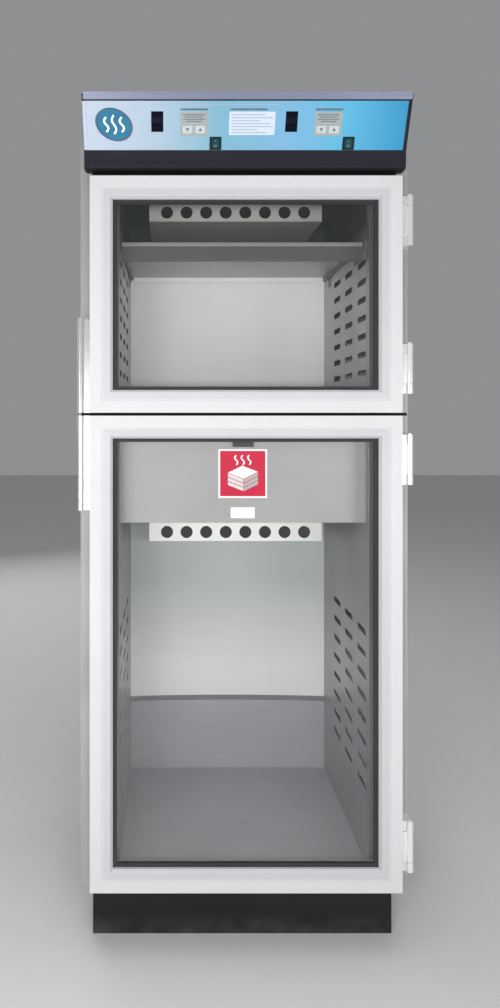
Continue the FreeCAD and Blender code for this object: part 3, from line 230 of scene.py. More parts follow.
# Outer casing: side, top and bottom sheets of stainless steel, folded and brushed lengthwise. The
# bottom pan stands on the plinth, and the sides hook over it and carry the top.
casing_steel = grained("casing_steel", (0.46, 0.455, 0.45), (0.38, 0.375, 0.37), 0.5, 0.54, 0.05,
                       420, (1, 1, 0.012), 0.000012)
eased("bottom_pan", casing_steel, 0.0005)
for side in ("side_panel_left", "side_panel_right"):
    eased(side, casing_steel, 0.0005)
eased("top_panel", casing_steel, 0.0005)


# Face frame: hollow folded stainless uprights and cross rails behind the doors. The chambers open
# through it, the hinges screw to it, and the door gaskets close on its flat front.
frame_steel = grained("frame_steel", (0.40, 0.39, 0.385), (0.32, 0.31, 0.305), 0.9, 0.38, 0.06,
                      420, (1, 1, 0.02), 0.000012)
eased("face_frame_stiles", frame_steel, 0.0006)
eased("face_frame_rails", frame_steel, 0.0006)


# Chamber liner: stainless walls, back, floors and ceilings, bent from thin sheet and spot welded
# along their laps. The back is in two sheets with a seam low in the bottom chamber; its near-white
# tone is a painted highlight for the lamp light on it, and the lower back sheet carries a painted
# shadow of the header, darker towards its top. The ceilings and the back above the shelf carry
# painted shade.
# Painted highlight: the back steel is near-white for the lamp light it reflects, unlike the darker
# walls.
painted_lit_steel = grained("painted_lit_steel", (0.90, 0.91, 0.89), (0.83, 0.84, 0.82), 0.10, 0.48, 0.07,
                      380, (0.02, 0.02, 1), 0.000012)
wall_steel = grained("wall_steel", (0.40, 0.395, 0.40), (0.32, 0.315, 0.32), 0.8, 0.40, 0.07,
                     380, (0.02, 0.02, 1), 0.000012)
floor_steel = grained("floor_steel", (0.49, 0.47, 0.50), (0.42, 0.40, 0.43), 0.4, 0.45, 0.08,
                      380, (0.02, 1, 1), 0.000015)
painted_shade_steel = grained("painted_shade_steel", (0.10, 0.098, 0.10), (0.06, 0.059, 0.06), 0.6, 0.42,
                         0.07, 380, (0.02, 0.02, 1), 0.000012)
seam_grey = grained("seam_grey", (0.17, 0.17, 0.18), (0.13, 0.13, 0.14), 0.0, 0.55, 0.05, 200,
                    (1, 1, 1), 0.00002)
back_seam, bead_under, bead_over, bead_crown, bead_depth = 0.376, 0.012, 0.0025, 0.004, 0.0006
bead_slope_under, bead_slope_over, bead_steps = 0.002, 0.001, 24
shelf_drop, floor_drop, duct_return = 0.006, 0.02, 0.018


def cut_across(work, level):
    """Cuts the faces of a bmesh along one level plane."""
    bmesh.ops.bisect_plane(work, geom=work.verts[:] + work.edges[:] + work.faces[:],
                           plane_co=(0, 0, level), plane_no=(0, 0, 1))


eased("liner_walls", wall_steel, 0.0004)
eased("chamber_ceilings", painted_shade_steel, 0.0004)
eased("chamber_floors", floor_steel, 0.0004)
behind_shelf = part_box("upper_shelf")[1].z - shelf_drop
between_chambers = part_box("chamber_floors")[1].z - floor_drop
back_work = joined_up("liner_back")
for level in (between_chambers, behind_shelf):
    cut_across(back_work, level)
back_sheets = put_in_place("liner_back_eased", back_work, painted_lit_steel, rides_on["liner_back"],
                           0.0004)
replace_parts(back_sheets, "liner_back")
# A near-white lit copy of the back steel, with a painted shadow of the header that darkens it
# towards its top.
lower_back_lit_shaded = grained("lower_back_lit_shaded", (0.88, 0.87, 0.87), (0.81, 0.80, 0.80), 0.10, 0.48,
                           0.07, 380, (0.02, 0.02, 1), 0.000012)
wear_and_shade_towards(lower_back_lit_shaded, "Z", 0.72, 0.48, 4, (0.48, 0.51, 0.505), 0.5, 0.8)
for finish in (lower_back_lit_shaded, floor_steel, painted_shade_steel):
    back_sheets.data.materials.append(finish)
# Back faces above the shelf take the dark steel as painted shade; the sheet under the upper chamber
# takes the painted header shadow.
for face in back_sheets.data.polygons:
    face.material_index = sum(face.center.z < level for level in (between_chambers, back_seam))
    if face.center.z > behind_shelf:
        face.material_index = 3
back_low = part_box("liner_back")[0]
duct_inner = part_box("lower_duct_panels")[1].x - duct_return
bead_work = bmesh.new()
rows = []
for step in range(bead_steps + 1):
    x = duct_inner * (2 * step / bead_steps - 1)
    crown = bead_crown * (1 - (x / duct_inner) ** 2)
    low, high = back_seam - bead_under + crown, back_seam + bead_over + crown
    rows.append([bead_work.verts.new((x, back_low.y - depth, z))
                 for depth, z in ((0, low), (bead_depth, low + bead_slope_under),
                                  (bead_depth, high - bead_slope_over), (0, high))])
for first, second in zip(rows, rows[1:]):
    for i in range(4):
        j = (i + 1) % 4
        bead_work.faces.new((first[i], first[j], second[j], second[i]))
bead_work.faces.new(rows[0])
bead_work.faces.new(rows[-1])
bmesh.ops.recalc_face_normals(bead_work, faces=bead_work.faces)
put_in_place("back_seam_bead", bead_work, seam_grey, "cabinet")


# Side air ducts: perforated stainless panels that lift out for cleaning. Warm air comes down behind
# them and out through rows of punched slots. The upper panels are a lighter copy of the steel, with
# painted shade that turns them dark above the shelf.
duct_steel = grained("duct_steel", (0.42, 0.41, 0.43), (0.34, 0.33, 0.35), 0.7, 0.42, 0.07,
                     380, (1, 0.02, 1), 0.000015)
upper_duct_shaded_steel = grained("upper_duct_shaded_steel", (0.50, 0.49, 0.515), (0.41, 0.40, 0.42), 0.7, 0.42, 0.07,
                       380, (1, 0.02, 1), 0.000015)
# Painted shade: the upper duct steel goes dark above the shelf.
wear_and_shade_towards(upper_duct_shaded_steel, "Z", 1.64, 1.59, 3, (0.03, 0.029, 0.03), 0.5, 0.9)
finished("upper_duct_panels", upper_duct_shaded_steel)
finished("lower_duct_panels", duct_steel)


# Air plenums: shallow folded boxes under the chamber ceilings. A row of eight round outlets in the
# front face of each sends air to the glass, so their fronts are seen below the blowers.
# The two plenums are one steel in painted copies: shaded for the upper one, lit for the lower.
upper_plenum_shaded = grained("upper_plenum_shaded", (0.52, 0.515, 0.48), (0.45, 0.445, 0.415), 0.25, 0.48, 0.06,
                       380, (0.02, 1, 1), 0.000012)
lower_plenum_lit = grained("lower_plenum_lit", (0.88, 0.875, 0.84), (0.80, 0.795, 0.76), 0.1, 0.48,
                        0.06, 380, (0.02, 1, 1), 0.000012)
finished("upper_air_plenum", upper_plenum_shaded)
finished("lower_air_plenum", lower_plenum_lit)


# Header: a plain folded sheet across the top of the lower chamber, which hides the lower blower and
# heater. It has a returned lower edge and is spot welded behind the face frame.
header_steel = grained("header_steel", (0.43, 0.428, 0.422), (0.375, 0.373, 0.367), 0.3, 0.48,
                       0.06, 380, (0.02, 1, 1), 0.000012)
eased("lower_header_panel", header_steel, 0.0006)


# Labels: two vinyl films on the header. The red one has a white border and a drawing of a folded
# blanket with warmth rising from it, and the small one below is blank, for the user's own mark.
label_low, label_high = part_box("header_labels")
label_half, ink_depth = 0.056, 0.00008
label_middle_up = label_high.z - label_half


def polygon(*points):
    """A flat shape from the points of its outline, in millimetres."""
    return list(points), [tuple(range(len(points)))]


def rounded_box(left, right, low, high, radius, steps=5):
    """A rectangle with round corners, in millimetres."""
    corners = ((right - radius, high - radius, 0), (left + radius, high - radius, 90),
               (left + radius, low + radius, 180), (right - radius, low + radius, 270))
    outline = []
    for x, y, turn in corners:
        for step in range(steps + 1):
            angle = math.radians(turn + 90 * step / steps)
            outline.append((x + radius * math.cos(angle), y + radius * math.sin(angle)))
    return polygon(*outline)


def stroke(path, width, closed=False):
    """A band of one width along a path, in millimetres."""
    left, right, count = [], [], len(path)
    for i, (x, y) in enumerate(path):
        before = path[i - 1] if closed or i else path[i]
        after = path[(i + 1) % count] if closed or i + 1 < count else path[i]
        dx, dy = after[0] - before[0], after[1] - before[1]
        half = width / 2 / math.hypot(dx, dy)
        left.append((x - dy * half, y + dx * half))
        right.append((x + dy * half, y - dx * half))
    links = range(count if closed else count - 1)
    faces = [(i, i + count, (i + 1) % count + count, (i + 1) % count) for i in links]
    return left + right, faces


def oval(x, y, across, up, turn=0.0, steps=48):
    """The points of an oval about a middle, turned by some degrees."""
    tilt = math.radians(turn)
    outline = []
    for step in range(steps):
        angle = 2 * math.pi * step / steps
        a, b = across / 2 * math.cos(angle), up / 2 * math.sin(angle)
        outline.append((x + a * math.cos(tilt) - b * math.sin(tilt),
                        y + a * math.sin(tilt) + b * math.cos(tilt)))
    return outline


def warm_wave(x, low, high, sway, steps=18):
    """The path of one wave of rising warmth."""
    return [(x + sway * math.sin(2 * math.pi * i / steps), low + (high - low) * i / steps)
            for i in range(steps + 1)]


def raised(name, shapes, depth, place, finish, body, edge=0.0):
    """Flat shapes given a depth on a surface: place carries (across, up, out) into the frame."""
    work = bmesh.new()
    for points, faces in shapes:
        under = [work.verts.new(place(x, y, 0.0)) for x, y in points]
        over = [work.verts.new(place(x, y, depth)) for x, y in points]
        sides = {}
        for face in faces:
            work.faces.new([over[i] for i in face])
            work.faces.new([under[i] for i in reversed(face)])
            for a, b in zip(face, face[1:] + face[:1]):
                if (b, a) in sides:
                    del sides[(b, a)]
                else:
                    sides[(a, b)] = True
        for a, b in sides:
            work.faces.new((under[a], under[b], over[b], over[a]))
    bmesh.ops.recalc_face_normals(work, faces=work.faces)
    return put_in_place(name, work, finish, body, edge)


def on_label(layer):
    """A place on the red label, one ink layer over another."""
    return lambda x, y, out: (x / 1000, label_low.y - layer * ink_depth - out,
                              label_middle_up + y / 1000)


def on_header(x, y, out):
    """A place on the header itself, measured from the red label's middle."""
    return (x / 1000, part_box("lower_header_panel")[0].y - out, label_middle_up + y / 1000)


ink_dark = grained("ink_dark", (0.050, 0.050, 0.055), (0.035, 0.035, 0.040), 0.0, 0.4, 0.05,
                   300, (1, 1, 1), 0.000008)
label_white = grained("label_white", (0.94, 0.94, 0.92), (0.89, 0.89, 0.87), 0.0, 0.35, 0.05,
                      300, (1, 1, 1), 0.000008)
label_red = grained("label_red", (0.62, 0.016, 0.060), (0.54, 0.012, 0.048), 0.0, 0.34, 0.05,
                    300, (1, 1, 1), 0.000008)
shine(label_red, 0.15)
ink_shade = grained("ink_shade", (0.46, 0.46, 0.47), (0.38, 0.38, 0.39), 0.0, 0.4, 0.05,
                    300, (1, 1, 1), 0.000008)
ink_pale = grained("ink_pale", (0.72, 0.72, 0.72), (0.66, 0.66, 0.66), 0.0, 0.4, 0.05,
                   300, (1, 1, 1), 0.000008)
eased("header_labels", label_white, 0.0002)
raised("label_field", [rounded_box(-52, 52, -52, 52, 2)], ink_depth, on_label(0), label_red,
       "cabinet")
fold_rise = 9.5
folds = (0, 1, 2)
raised("label_blanket_top", [polygon((-34, 2), (2, -12), (35, 4), (-1, 18))], ink_depth,
       on_label(1), label_white, "cabinet")
raised("label_blanket_front",
       [polygon((-34, 0.6 - fold_rise * f), (-34, -7.2 - fold_rise * f),
                (1.4, -21.2 - fold_rise * f), (1.4, -13.4 - fold_rise * f)) for f in folds],
       ink_depth, on_label(1), ink_pale, "cabinet")
raised("label_blanket_end",
       [polygon((2.6, -13.4 - fold_rise * f), (2.6, -21.2 - fold_rise * f),
                (35, -5.4 - fold_rise * f), (35, 2.4 - fold_rise * f)) for f in folds],
       ink_depth, on_label(1), ink_shade, "cabinet")
raised("header_caption_strip", [rounded_box(-24, 24, 61.5, 77, 1)], 0.0004, on_header, ink_dark,
       "cabinet", 0.0001)
raised("label_warmth", [stroke(warm_wave(x, 20, 42, 3.4), 3.4) for x in (-15, 0, 15)], ink_depth,
       on_label(1), label_white, "cabinet")


# Shelf: one tray of stainless sheet with turned-down edges, a deep hemmed apron in front and a
# stiffening rib. It rests on four clips on the duct panels of the upper chamber and lifts off.
shelf_steel = grained("shelf_steel", (0.15, 0.147, 0.15), (0.115, 0.113, 0.115), 0.6, 0.42, 0.06,
                      380, (0.02, 1, 1), 0.000012)
rolled_edge_highlight = grained("rolled_edge_highlight", (0.37, 0.365, 0.37), (0.32, 0.315, 0.32), 0.4, 0.40, 0.06,
                       380, (0.02, 1, 1), 0.000012)
eased("shelf_clips", shelf_steel, 0.0005)
shelf_low, shelf_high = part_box("upper_shelf")
apron_roll, hem_roll, apron_lean, apron_sheet = 0.010, 0.005, 0.004, 0.003
apron_reach, squarely, upwards = 0.01, 0.9, 0.2
tray = joined_up("upper_shelf")
for level in (shelf_high.z - apron_roll, shelf_low.z + hem_roll):
    cut_across(tray, level)
for point in tray.verts:
    if point.co.y < shelf_low.y + apron_sheet:
        over = max(0.0, (point.co.z - shelf_high.z + apron_roll) / apron_roll)
        under = max(0.0, (shelf_low.z + hem_roll - point.co.z) / hem_roll)
        point.co.y += apron_lean * (over + under)
shelf = put_in_place("upper_shelf_eased", tray, shelf_steel, rides_on["upper_shelf"],
                     0.0008, 3)
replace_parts(shelf, "upper_shelf")
# The shelf's rolled top edge takes a painted highlight, its underside a painted lighter tone for
# light from below, and the front faces behind the apron a painted near-white that hides their
# shade.
for finish in (rolled_edge_highlight, floor_steel, painted_lit_steel):
    shelf.data.materials.append(finish)
for face in shelf.data.polygons:
    if face.center.y > shelf_low.y + apron_reach:
        face.material_index = 2 * (face.normal.z < -squarely) + 3 * (face.normal.y < -squarely)
    elif face.normal.z > upwards:
        face.material_index = 1


# Blowers: a galvanised scroll housing over each chamber, with a black squirrel-cage wheel on a
# flanged motor. They are closed in, and seen only with the panels off.
galvanised = grained("galvanised", (0.58, 0.60, 0.61), (0.42, 0.44, 0.45), 0.9, 0.42, 0.12, 60,
                     (1, 1, 1), 0.00002)
motor_enamel = grained("motor_enamel", (0.060, 0.062, 0.068), (0.035, 0.036, 0.040), 0.2, 0.40,
                       0.08, 700, (1, 1, 1), 0.00003)
wheel_plastic = grained("wheel_plastic", (0.050, 0.050, 0.052), (0.030, 0.030, 0.031), 0.0, 0.46,
                        0.08, 800, (1, 1, 1), 0.00002)
for node, finish, slot_name in (("blower_housings", galvanised, "galvanised"),
                                ("blower_motors", motor_enamel, "motor_case"),
                                ("upper_fan_wheel", wheel_plastic, "fan_plastic"),
                                ("lower_fan_wheel", wheel_plastic, "fan_plastic")):
    eased(node, finish, 0.0004)


# Heaters: bare tubular elements bent to a ring round each blower wheel. The alloy sheath is heat
# tinted, straw to brown, by the first firing.
heater_tint = grained("heater_tint", (0.36, 0.27, 0.20), (0.16, 0.12, 0.11), 0.9, 0.45, 0.1, 45,
                      (1, 1, 1), 0.00002)
finished("heater_elements", heater_tint)


# Insulation: mineral wool slabs between the liner and the casing. They are cut to size and packed
# by hand, so their faces are tufted and slightly uneven.
tuft_size, tuft_depth, wool_cuts = 0.055, 0.004, 5
wool_yellow = grained("wool_yellow", (0.62, 0.50, 0.24), (0.42, 0.33, 0.15), 0.0, 0.95, 0.04, 240,
                      (1, 1, 0.35), 0.0012)
wool = put_in_place("insulation_slabs", joined_up("insulation_panels"), wool_yellow, "cabinet")
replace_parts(wool, "insulation_panels")
cells = wool.modifiers.new("wool_cells", "SUBSURF")
cells.subdivision_type = "SIMPLE"
cells.levels = cells.render_levels = wool_cuts
tufts = bpy.data.textures.new("wool_tufts", "CLOUDS")
tufts.noise_scale = tuft_size
uneven = wool.modifiers.new("tufted_faces", "DISPLACE")
uneven.texture = tufts
uneven.texture_coords = "LOCAL"
uneven.strength = -tuft_depth
uneven.mid_level = 0.0


# Rear: a stainless service panel with punched louvres, held by pan-head screws, and a closed black
# terminal box with a screwed cover, where an electrician wires the supply.
rear_steel = grained("rear_steel", (0.50, 0.50, 0.49), (0.42, 0.42, 0.41), 0.7, 0.46, 0.06,
                     420, (1, 1, 0.012), 0.000012)
screw_steel = grained("screw_steel", (0.66, 0.66, 0.65), (0.54, 0.54, 0.53), 1.0, 0.24, 0.06,
                      500, (1, 1, 1), 0.00001)
terminal_black = grained("terminal_black", (0.032, 0.032, 0.033), (0.020, 0.020, 0.021), 0.0, 0.5,
                         0.08, 700, (1, 1, 1), 0.00004)
eased("rear_panel", rear_steel, 0.0004)
eased("panel_screws", screw_steel, 0.0003)
eased("supply_terminal_box", terminal_black, 0.0006)


# Control hood: a charcoal sheet housing folded in one piece, with a leaning face, a dark skirt
# under it and an end cap at each side. Its downward faces are painted black as shade, and a satin
# rail trims its top edge.
hood_charcoal = grained("hood_charcoal", (0.024, 0.023, 0.033), (0.016, 0.015, 0.022), 0.0, 0.46,
                        0.07, 1100, (1, 1, 1), 0.00004)
shine(hood_charcoal, 0.12)
trim_satin = grained("trim_satin", (0.24, 0.265, 0.36), (0.205, 0.225, 0.31), 0.4, 0.40, 0.05, 420,
                     (0.012, 1, 1), 0.00001)
mostly = 0.5
for cover, edge in (("hood_shell", 0.0012), ("hood_end_caps", 0.0015)):
    piece = eased(cover, hood_charcoal, edge, 3)
    # Faces that look down take the plinth black as painted shade.
    piece.data.materials.append(plinth_black)
    for face in piece.data.polygons:
        face.material_index = int(face.normal.z < -mostly)
eased("hood_trim", trim_satin, 0.0028, 4)


# Control board: a green circuit board with its parts, on pillars behind the hood's face.
board_green = grained("board_green", (0.030, 0.19, 0.075), (0.018, 0.12, 0.050), 0.1, 0.40, 0.1,
                      160, (1, 1, 1), 0.00003)
finished("control_board", board_green)


# Control face: a printed polyester overlay that shades from near white to sky blue, with a round
# warming badge, a grey key panel for each chamber and a pale panel of rules between them.
face_foot = Vector((0.0, -0.28415, 1.78250))
face_up = Vector((0.0, -0.42013, 0.90746))
face_out = Vector((0.0, -0.90746, -0.42013))
overlay_top, key_top, display_top = 1.2, 1.7, 1.2
face_half, badge_depth, ink_height = 0.348, 0.5, 0.08
unit_across = {"upper": -114.7, "lower": 178.0}


def on_face(height):
    """A place on the leaning face, at a height over it in millimetres."""
    return lambda x, y, out: tuple(Vector((x / 1000, 0.0, 0.0)) + face_foot
                                   + face_up * (y / 1000) + face_out * (height / 1000 + out))


overlay_blue = grained("overlay_blue", (0.92, 0.92, 0.92), (0.86, 0.86, 0.86), 0.0, 0.48, 0.05, 500,
                       (1, 1, 1), 0.000006)
tree = overlay_blue.node_tree
place = tree.nodes.new("ShaderNodeTexCoord")
split = tree.nodes.new("ShaderNodeSeparateXYZ")
tree.links.new(place.outputs["Object"], split.inputs["Vector"])
along = tree.nodes.new("ShaderNodeMapRange")
along.inputs["From Min"].default_value = -face_half
along.inputs["From Max"].default_value = face_half
tree.links.new(split.outputs["X"], along.inputs["Value"])
shades = tree.nodes.new("ShaderNodeValToRGB")
fade = ((0.0, (0.50, 0.58, 0.69)), (0.22, (0.39, 0.51, 0.62)), (0.42, (0.19, 0.42, 0.55)),
        (0.62, (0.19, 0.43, 0.64)), (0.80, (0.10, 0.44, 0.67)), (1.0, (0.018, 0.275, 0.52)))
while len(shades.color_ramp.elements) < len(fade):
    shades.color_ramp.elements.new(0.5)
for stop, (spot, colour) in zip(shades.color_ramp.elements, fade):
    stop.position = spot
    stop.color = (*colour, 1.0)
tree.links.new(along.outputs["Result"], shades.inputs["Fac"])
tint = tree.nodes.new("ShaderNodeMix")
tint.data_type = "RGBA"
tint.blend_type = "MULTIPLY"
tint.inputs["Factor"].default_value = 1.0
shader = tree.nodes["Principled BSDF"]
tree.links.new(shader.inputs["Base Color"].links[0].from_socket, tint.inputs[6])
tree.links.new(shades.outputs["Color"], tint.inputs[7])
tree.links.new(tint.outputs[2], shader.inputs["Base Color"])
eased("control_overlay", overlay_blue, 0.0003)

badge_teal = grained("badge_teal", (0.007, 0.17, 0.29), (0.004, 0.12, 0.22), 0.0, 0.50, 0.06, 60,
                     (1, 1, 1), 0.00001)
badge_rim = grained("badge_rim", (0.075, 0.10, 0.18), (0.05, 0.07, 0.13), 0.0, 0.48, 0.05, 300,
                    (1, 1, 1), 0.00001)
print_grey = grained("print_grey", (0.34, 0.37, 0.37), (0.29, 0.32, 0.32), 0.0, 0.36, 0.05, 400,
                     (1, 1, 1), 0.000006)
print_dark = grained("print_dark", (0.115, 0.15, 0.17), (0.090, 0.12, 0.14), 0.0, 0.36, 0.05, 400,
                     (1, 1, 1), 0.000006)
print_pale = grained("print_pale", (0.60, 0.66, 0.76), (0.55, 0.61, 0.71), 0.0, 0.36, 0.05, 400,
                     (1, 1, 1), 0.000006)
print_soft = grained("print_soft", (0.34, 0.42, 0.50), (0.30, 0.38, 0.46), 0.0, 0.36, 0.05, 400,
                     (1, 1, 1), 0.000006)
raised("face_end_margin", [rounded_box(-356.6, -348.1, 3.2, 102.3, 0.8)], 0.0012, on_face(0.0),
       overlay_blue, "cabinet", 0.0003)
badge_at = (-289, 55)
raised("badge_disc", [polygon(*oval(*badge_at, 84, 64, -24))], badge_depth / 1000,
       on_face(overlay_top), badge_teal, "cabinet", 0.0002)
raised("badge_rim", [stroke(oval(*badge_at, 81, 61, -24), 3.4, True)], 0.0003,
       on_face(overlay_top + badge_depth), badge_rim, "cabinet")
raised("badge_waves",
       [stroke(warm_wave(badge_at[0] + x, badge_at[1] - h, badge_at[1] + h, 4.6), 4.2)
        for x, h in ((-17, 15), (0, 19), (17, 15))],
       0.0002, on_face(overlay_top + badge_depth), label_white, "cabinet")
panels, headings, rules = [], [], []
key_shift, key_middle_up, key_room_across, key_room_up = 14, 45, 11.2, 8.2
panel_half, panel_foot, panel_top, rule_half = 30, 32, 80, 0.9
key_cells = ((1, 1), (3, 1))
for middle in unit_across.values():
    columns = [middle + x for x in (-panel_half, -key_shift - key_room_across,
                                    -key_shift + key_room_across, key_shift - key_room_across,
                                    key_shift + key_room_across, panel_half)]
    levels = (panel_foot, key_middle_up - key_room_up, key_middle_up + key_room_up, panel_top)
    wide = len(columns)
    panels.append(([(x, y) for y in levels for x in columns],
                   [(i + wide * j, i + 1 + wide * j, i + 1 + wide * (j + 1), i + wide * (j + 1))
                    for j in range(len(levels) - 1) for i in range(wide - 1)
                    if (i, j) not in key_cells]))
    headings.append(rounded_box(middle - panel_half, middle + panel_half, 83.5, 87.5, 1))
    for row, half in ((75, 24), (70.5, 20), (66, 24), (61.5, 17)):
        rules.append(rounded_box(middle - half, middle + half, row - rule_half, row + rule_half,
                                 0.6))
raised("key_panels", panels, ink_depth, on_face(overlay_top), print_grey, "cabinet")
raised("panel_headings", headings + [rounded_box(-36, 44, 84, 87.5, 1)], ink_depth,
       on_face(overlay_top), print_dark, "cabinet")
raised("key_panel_rules", rules, ink_depth, on_face(overlay_top + ink_height), print_dark,
       "cabinet")
raised("rules_panel", [rounded_box(-38, 62, 34, 81, 2.5)], ink_depth, on_face(overlay_top),
       print_pale, "cabinet")
raised("rules_panel_lines",
       [rounded_box(left, right, row - 1, row + 1, 0.6)
        for left, right, row in ((-33, 40, 75), (-33, 57, 69), (-33, 30, 63), (-33, 52, 57),
                                 (-33, 57, 51), (-33, 24, 45), (-33, 44, 39))],
       ink_depth, on_face(overlay_top + ink_height), print_soft, "cabinet")
raised("face_top_rule", [rounded_box(-205, 66, 94.4, 96, 0.5)], ink_depth, on_face(overlay_top),
       print_soft, "cabinet")


# Displays: a black gloss window for each chamber over a three-digit lamp, unlit here, so that its
# segments only just show through. A small status lamp sits under the digits.
window_black = grained("window_black", (0.004, 0.006, 0.014), (0.002, 0.003, 0.009), 0.0, 0.16,
                       0.04, 40, (1, 1, 1), 0.000002)
segment_dim = grained("segment_dim", (0.009, 0.007, 0.013), (0.006, 0.005, 0.009), 0.0, 0.30,
                      0.04, 200, (1, 1, 1), 0.000002)
shine(window_black, 0.1)
eased("display_modules", window_black, 0.0007, 3)


bar_gap = 0.7


def unlit_digit(x, y, wide, high, bar):
    """The seven bars of one lamp digit about its middle."""
    half, rise = wide / 2, high / 2
    ends = [((x - half, y + k * rise), (x + half, y + k * rise)) for k in (-1, 0, 1)]
    ends += [((x + i * half, y + j * rise), (x + i * half, y))
             for i in (-1, 1) for j in (-1, 1)]
    bars = []
    for (ax, ay), (bx, by) in ends:
        length = math.hypot(bx - ax, by - ay)
        trim = bar * bar_gap / length
        bars.append(stroke([(ax + (bx - ax) * trim, ay + (by - ay) * trim),
                            (bx - (bx - ax) * trim, by - (by - ay) * trim)], bar))
    return bars


display_shift, digit_pitch, digit_up, lamp_up, lamp_across = -80, 7.4, 64, 48.5, 3
digits = []
for middle in unit_across.values():
    for step in (-digit_pitch, 0.0, digit_pitch):
        digits += unlit_digit(middle + display_shift + step, digit_up, 4.2, 9.5, 0.9)
    digits.append(polygon(*oval(middle + display_shift, lamp_up, lamp_across, lamp_across,
                                steps=16)))
raised("display_segments", digits, 0.00003, on_face(display_top), segment_dim, "cabinet")


# Temperature keys: domes under the film, one to raise and one to lower each chamber's setting, each
# with a printed arrow. A press moves them half a millimetre.
key_film = grained("key_film", (0.52, 0.56, 0.57), (0.46, 0.50, 0.51), 0.0, 0.34, 0.05, 400,
                   (1, 1, 1), 0.000006)
arrow_half, arrow_foot, arrow_tip = 4, 3, 4
for chamber, middle in unit_across.items():
    for role, way in (("cooler", -1), ("warmer", 1)):
        key = f"{chamber}_{role}_key"
        eased(key, key_film, 0.00035, 3)
        x, y = middle + key_shift * way, key_middle_up
        raised(f"{key}_arrow",
               [polygon((x - arrow_half, y - arrow_foot * way),
                        (x + arrow_half, y - arrow_foot * way), (x, y + arrow_tip * way))],
               ink_depth, on_face(key_top), print_dark, rides_on[key])


# Power switches: a dark snap-in bezel with a dished green rocker for each chamber, at the foot of
# the face. The rocker is moulded with the usual bar and ring for on and off.
bezel_black = grained("bezel_black", (0.014, 0.022, 0.024), (0.009, 0.014, 0.016), 0.0, 0.46, 0.06,
                      900, (1, 1, 1), 0.00002)
rocker_green = grained("rocker_green", (0.010, 0.062, 0.068), (0.006, 0.042, 0.047), 0.0, 0.40,
                       0.05, 700, (1, 1, 1), 0.00001)
mark_green = grained("mark_green", (0.20, 0.30, 0.30), (0.15, 0.24, 0.24), 0.0, 0.45, 0.05, 400,
                     (1, 1, 1), 0.000006)
for plastic in (bezel_black, rocker_green):
    shine(plastic, 0.2)
switch_across, switch_up, rocker_proud, rocker_slope = 48, 17, 2.5, 0.16
mark_depth, bar_half, bar_foot, bar_top, ring_drop, ring_across = 0.00018, 0.5, 2.4, 7.2, 5, 4.6


def on_sloped_half(x, y, out):
    """A place on the upper half of a rocker, which slopes in from the middle."""
    return on_face(overlay_top + rocker_proud - rocker_slope * (y - switch_up))(x, y, out)


eased("switch_bezels", bezel_black, 0.0008, 3)
for chamber, middle in unit_across.items():
    rocker = f"{chamber}_power_rocker"
    x = middle + switch_across
    eased(rocker, rocker_green, 0.0006, 3)
    raised(f"{rocker}_bar",
           [rounded_box(x - bar_half, x + bar_half, switch_up + bar_foot, switch_up + bar_top,
                        0.4)],
           mark_depth, on_sloped_half, mark_green, rides_on[rocker])
    raised(f"{rocker}_ring",
           [stroke(oval(x, switch_up - ring_drop, ring_across, ring_across), 0.9, True)],
           mark_depth, on_face(overlay_top + rocker_proud), mark_green, rides_on[rocker])


# Door frames: mitred aluminium extrusion, satin anodised near white. A shallow groove runs round
# the face, and a duller glazing bead stands slightly proud round the glass. Corner keys inside the
# mitres pull the members tight.
door_satin = grained("door_satin", (0.595, 0.59, 0.605), (0.55, 0.545, 0.56), 0.08, 0.50, 0.05,
                     300, (1, 1, 1), 0.000008)
bead_satin = grained("bead_satin", (0.52, 0.515, 0.535), (0.475, 0.47, 0.49), 0.08, 0.50, 0.05,
                     300, (1, 1, 1), 0.000008)
bead_rise, bead_inset, lip_inset, near = 0.0012, 0.0295, 0.045, 0.0002


def inset(spot, low, high):
    """How far a spot lies in from the nearest edge of a door."""
    return min(spot.x - low.x, high.x - spot.x, spot.z - low.z, high.z - spot.z)


for chamber in unit_across:
    for members in (f"{chamber}_door_rails", f"{chamber}_door_stiles"):
        door_low, door_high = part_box(members)
        piece = eased(members, door_satin, 0.0009)
        piece.data.materials.append(bead_satin)
        for face in piece.data.polygons:
            outwards = face.normal.y < -mostly
            face.material_index = int(outwards
                                      and inset(face.center, door_low, door_high) > bead_inset)
        for point in piece.data.vertices:
            on_lip = abs(inset(point.co, door_low, door_high) - lip_inset) < near
            if on_lip and point.co.y < door_low.y + near:
                point.co.y -= bead_rise


# Gap strips: thin black sheets on the face frame, in line with the gap between the two doors and
# the gap under the hood. They are painted shade, standing where the gaps are only in shadow.
strip_half, strip_end, strip_lap, strip_proud, hood_gap = 0.342, 0.3665, 0.0055, 0.003, 0.0005
frame_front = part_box("face_frame_rails")[0].y
gap_shade_black = grained("gap_shade_black", (0.014, 0.014, 0.015), (0.007, 0.007, 0.008), 0.0, 0.85, 0.06,
                     700, (1, 1, 1), 0.0002)


def on_rail(x, y, out):
    """A place on the front of the face frame, in metres across and up."""
    return x, frame_front - out, y


gap_low, gap_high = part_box("lower_door_rails")[1].z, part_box("upper_door_rails")[0].z
raised("middle_gap_shade_strip",
       [polygon((-strip_end, gap_low), (-strip_half, gap_low), (-strip_half, gap_low - strip_lap),
                (strip_half, gap_low - strip_lap), (strip_half, gap_low), (strip_end, gap_low),
                (strip_end, gap_high), (strip_half, gap_high), (strip_half, gap_high + strip_lap),
                (-strip_half, gap_high + strip_lap), (-strip_half, gap_high),
                (-strip_end, gap_high))],
       strip_proud, on_rail, gap_shade_black, "cabinet", 0.0008)
raised("hood_gap_shade_strip",
       [rounded_box(-strip_half, strip_half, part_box("upper_door_rails")[1].z - strip_lap,
                    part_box("hood_shell")[0].z - hood_gap, 0.002)],
       strip_proud, on_rail, gap_shade_black, "cabinet", 0.0008)


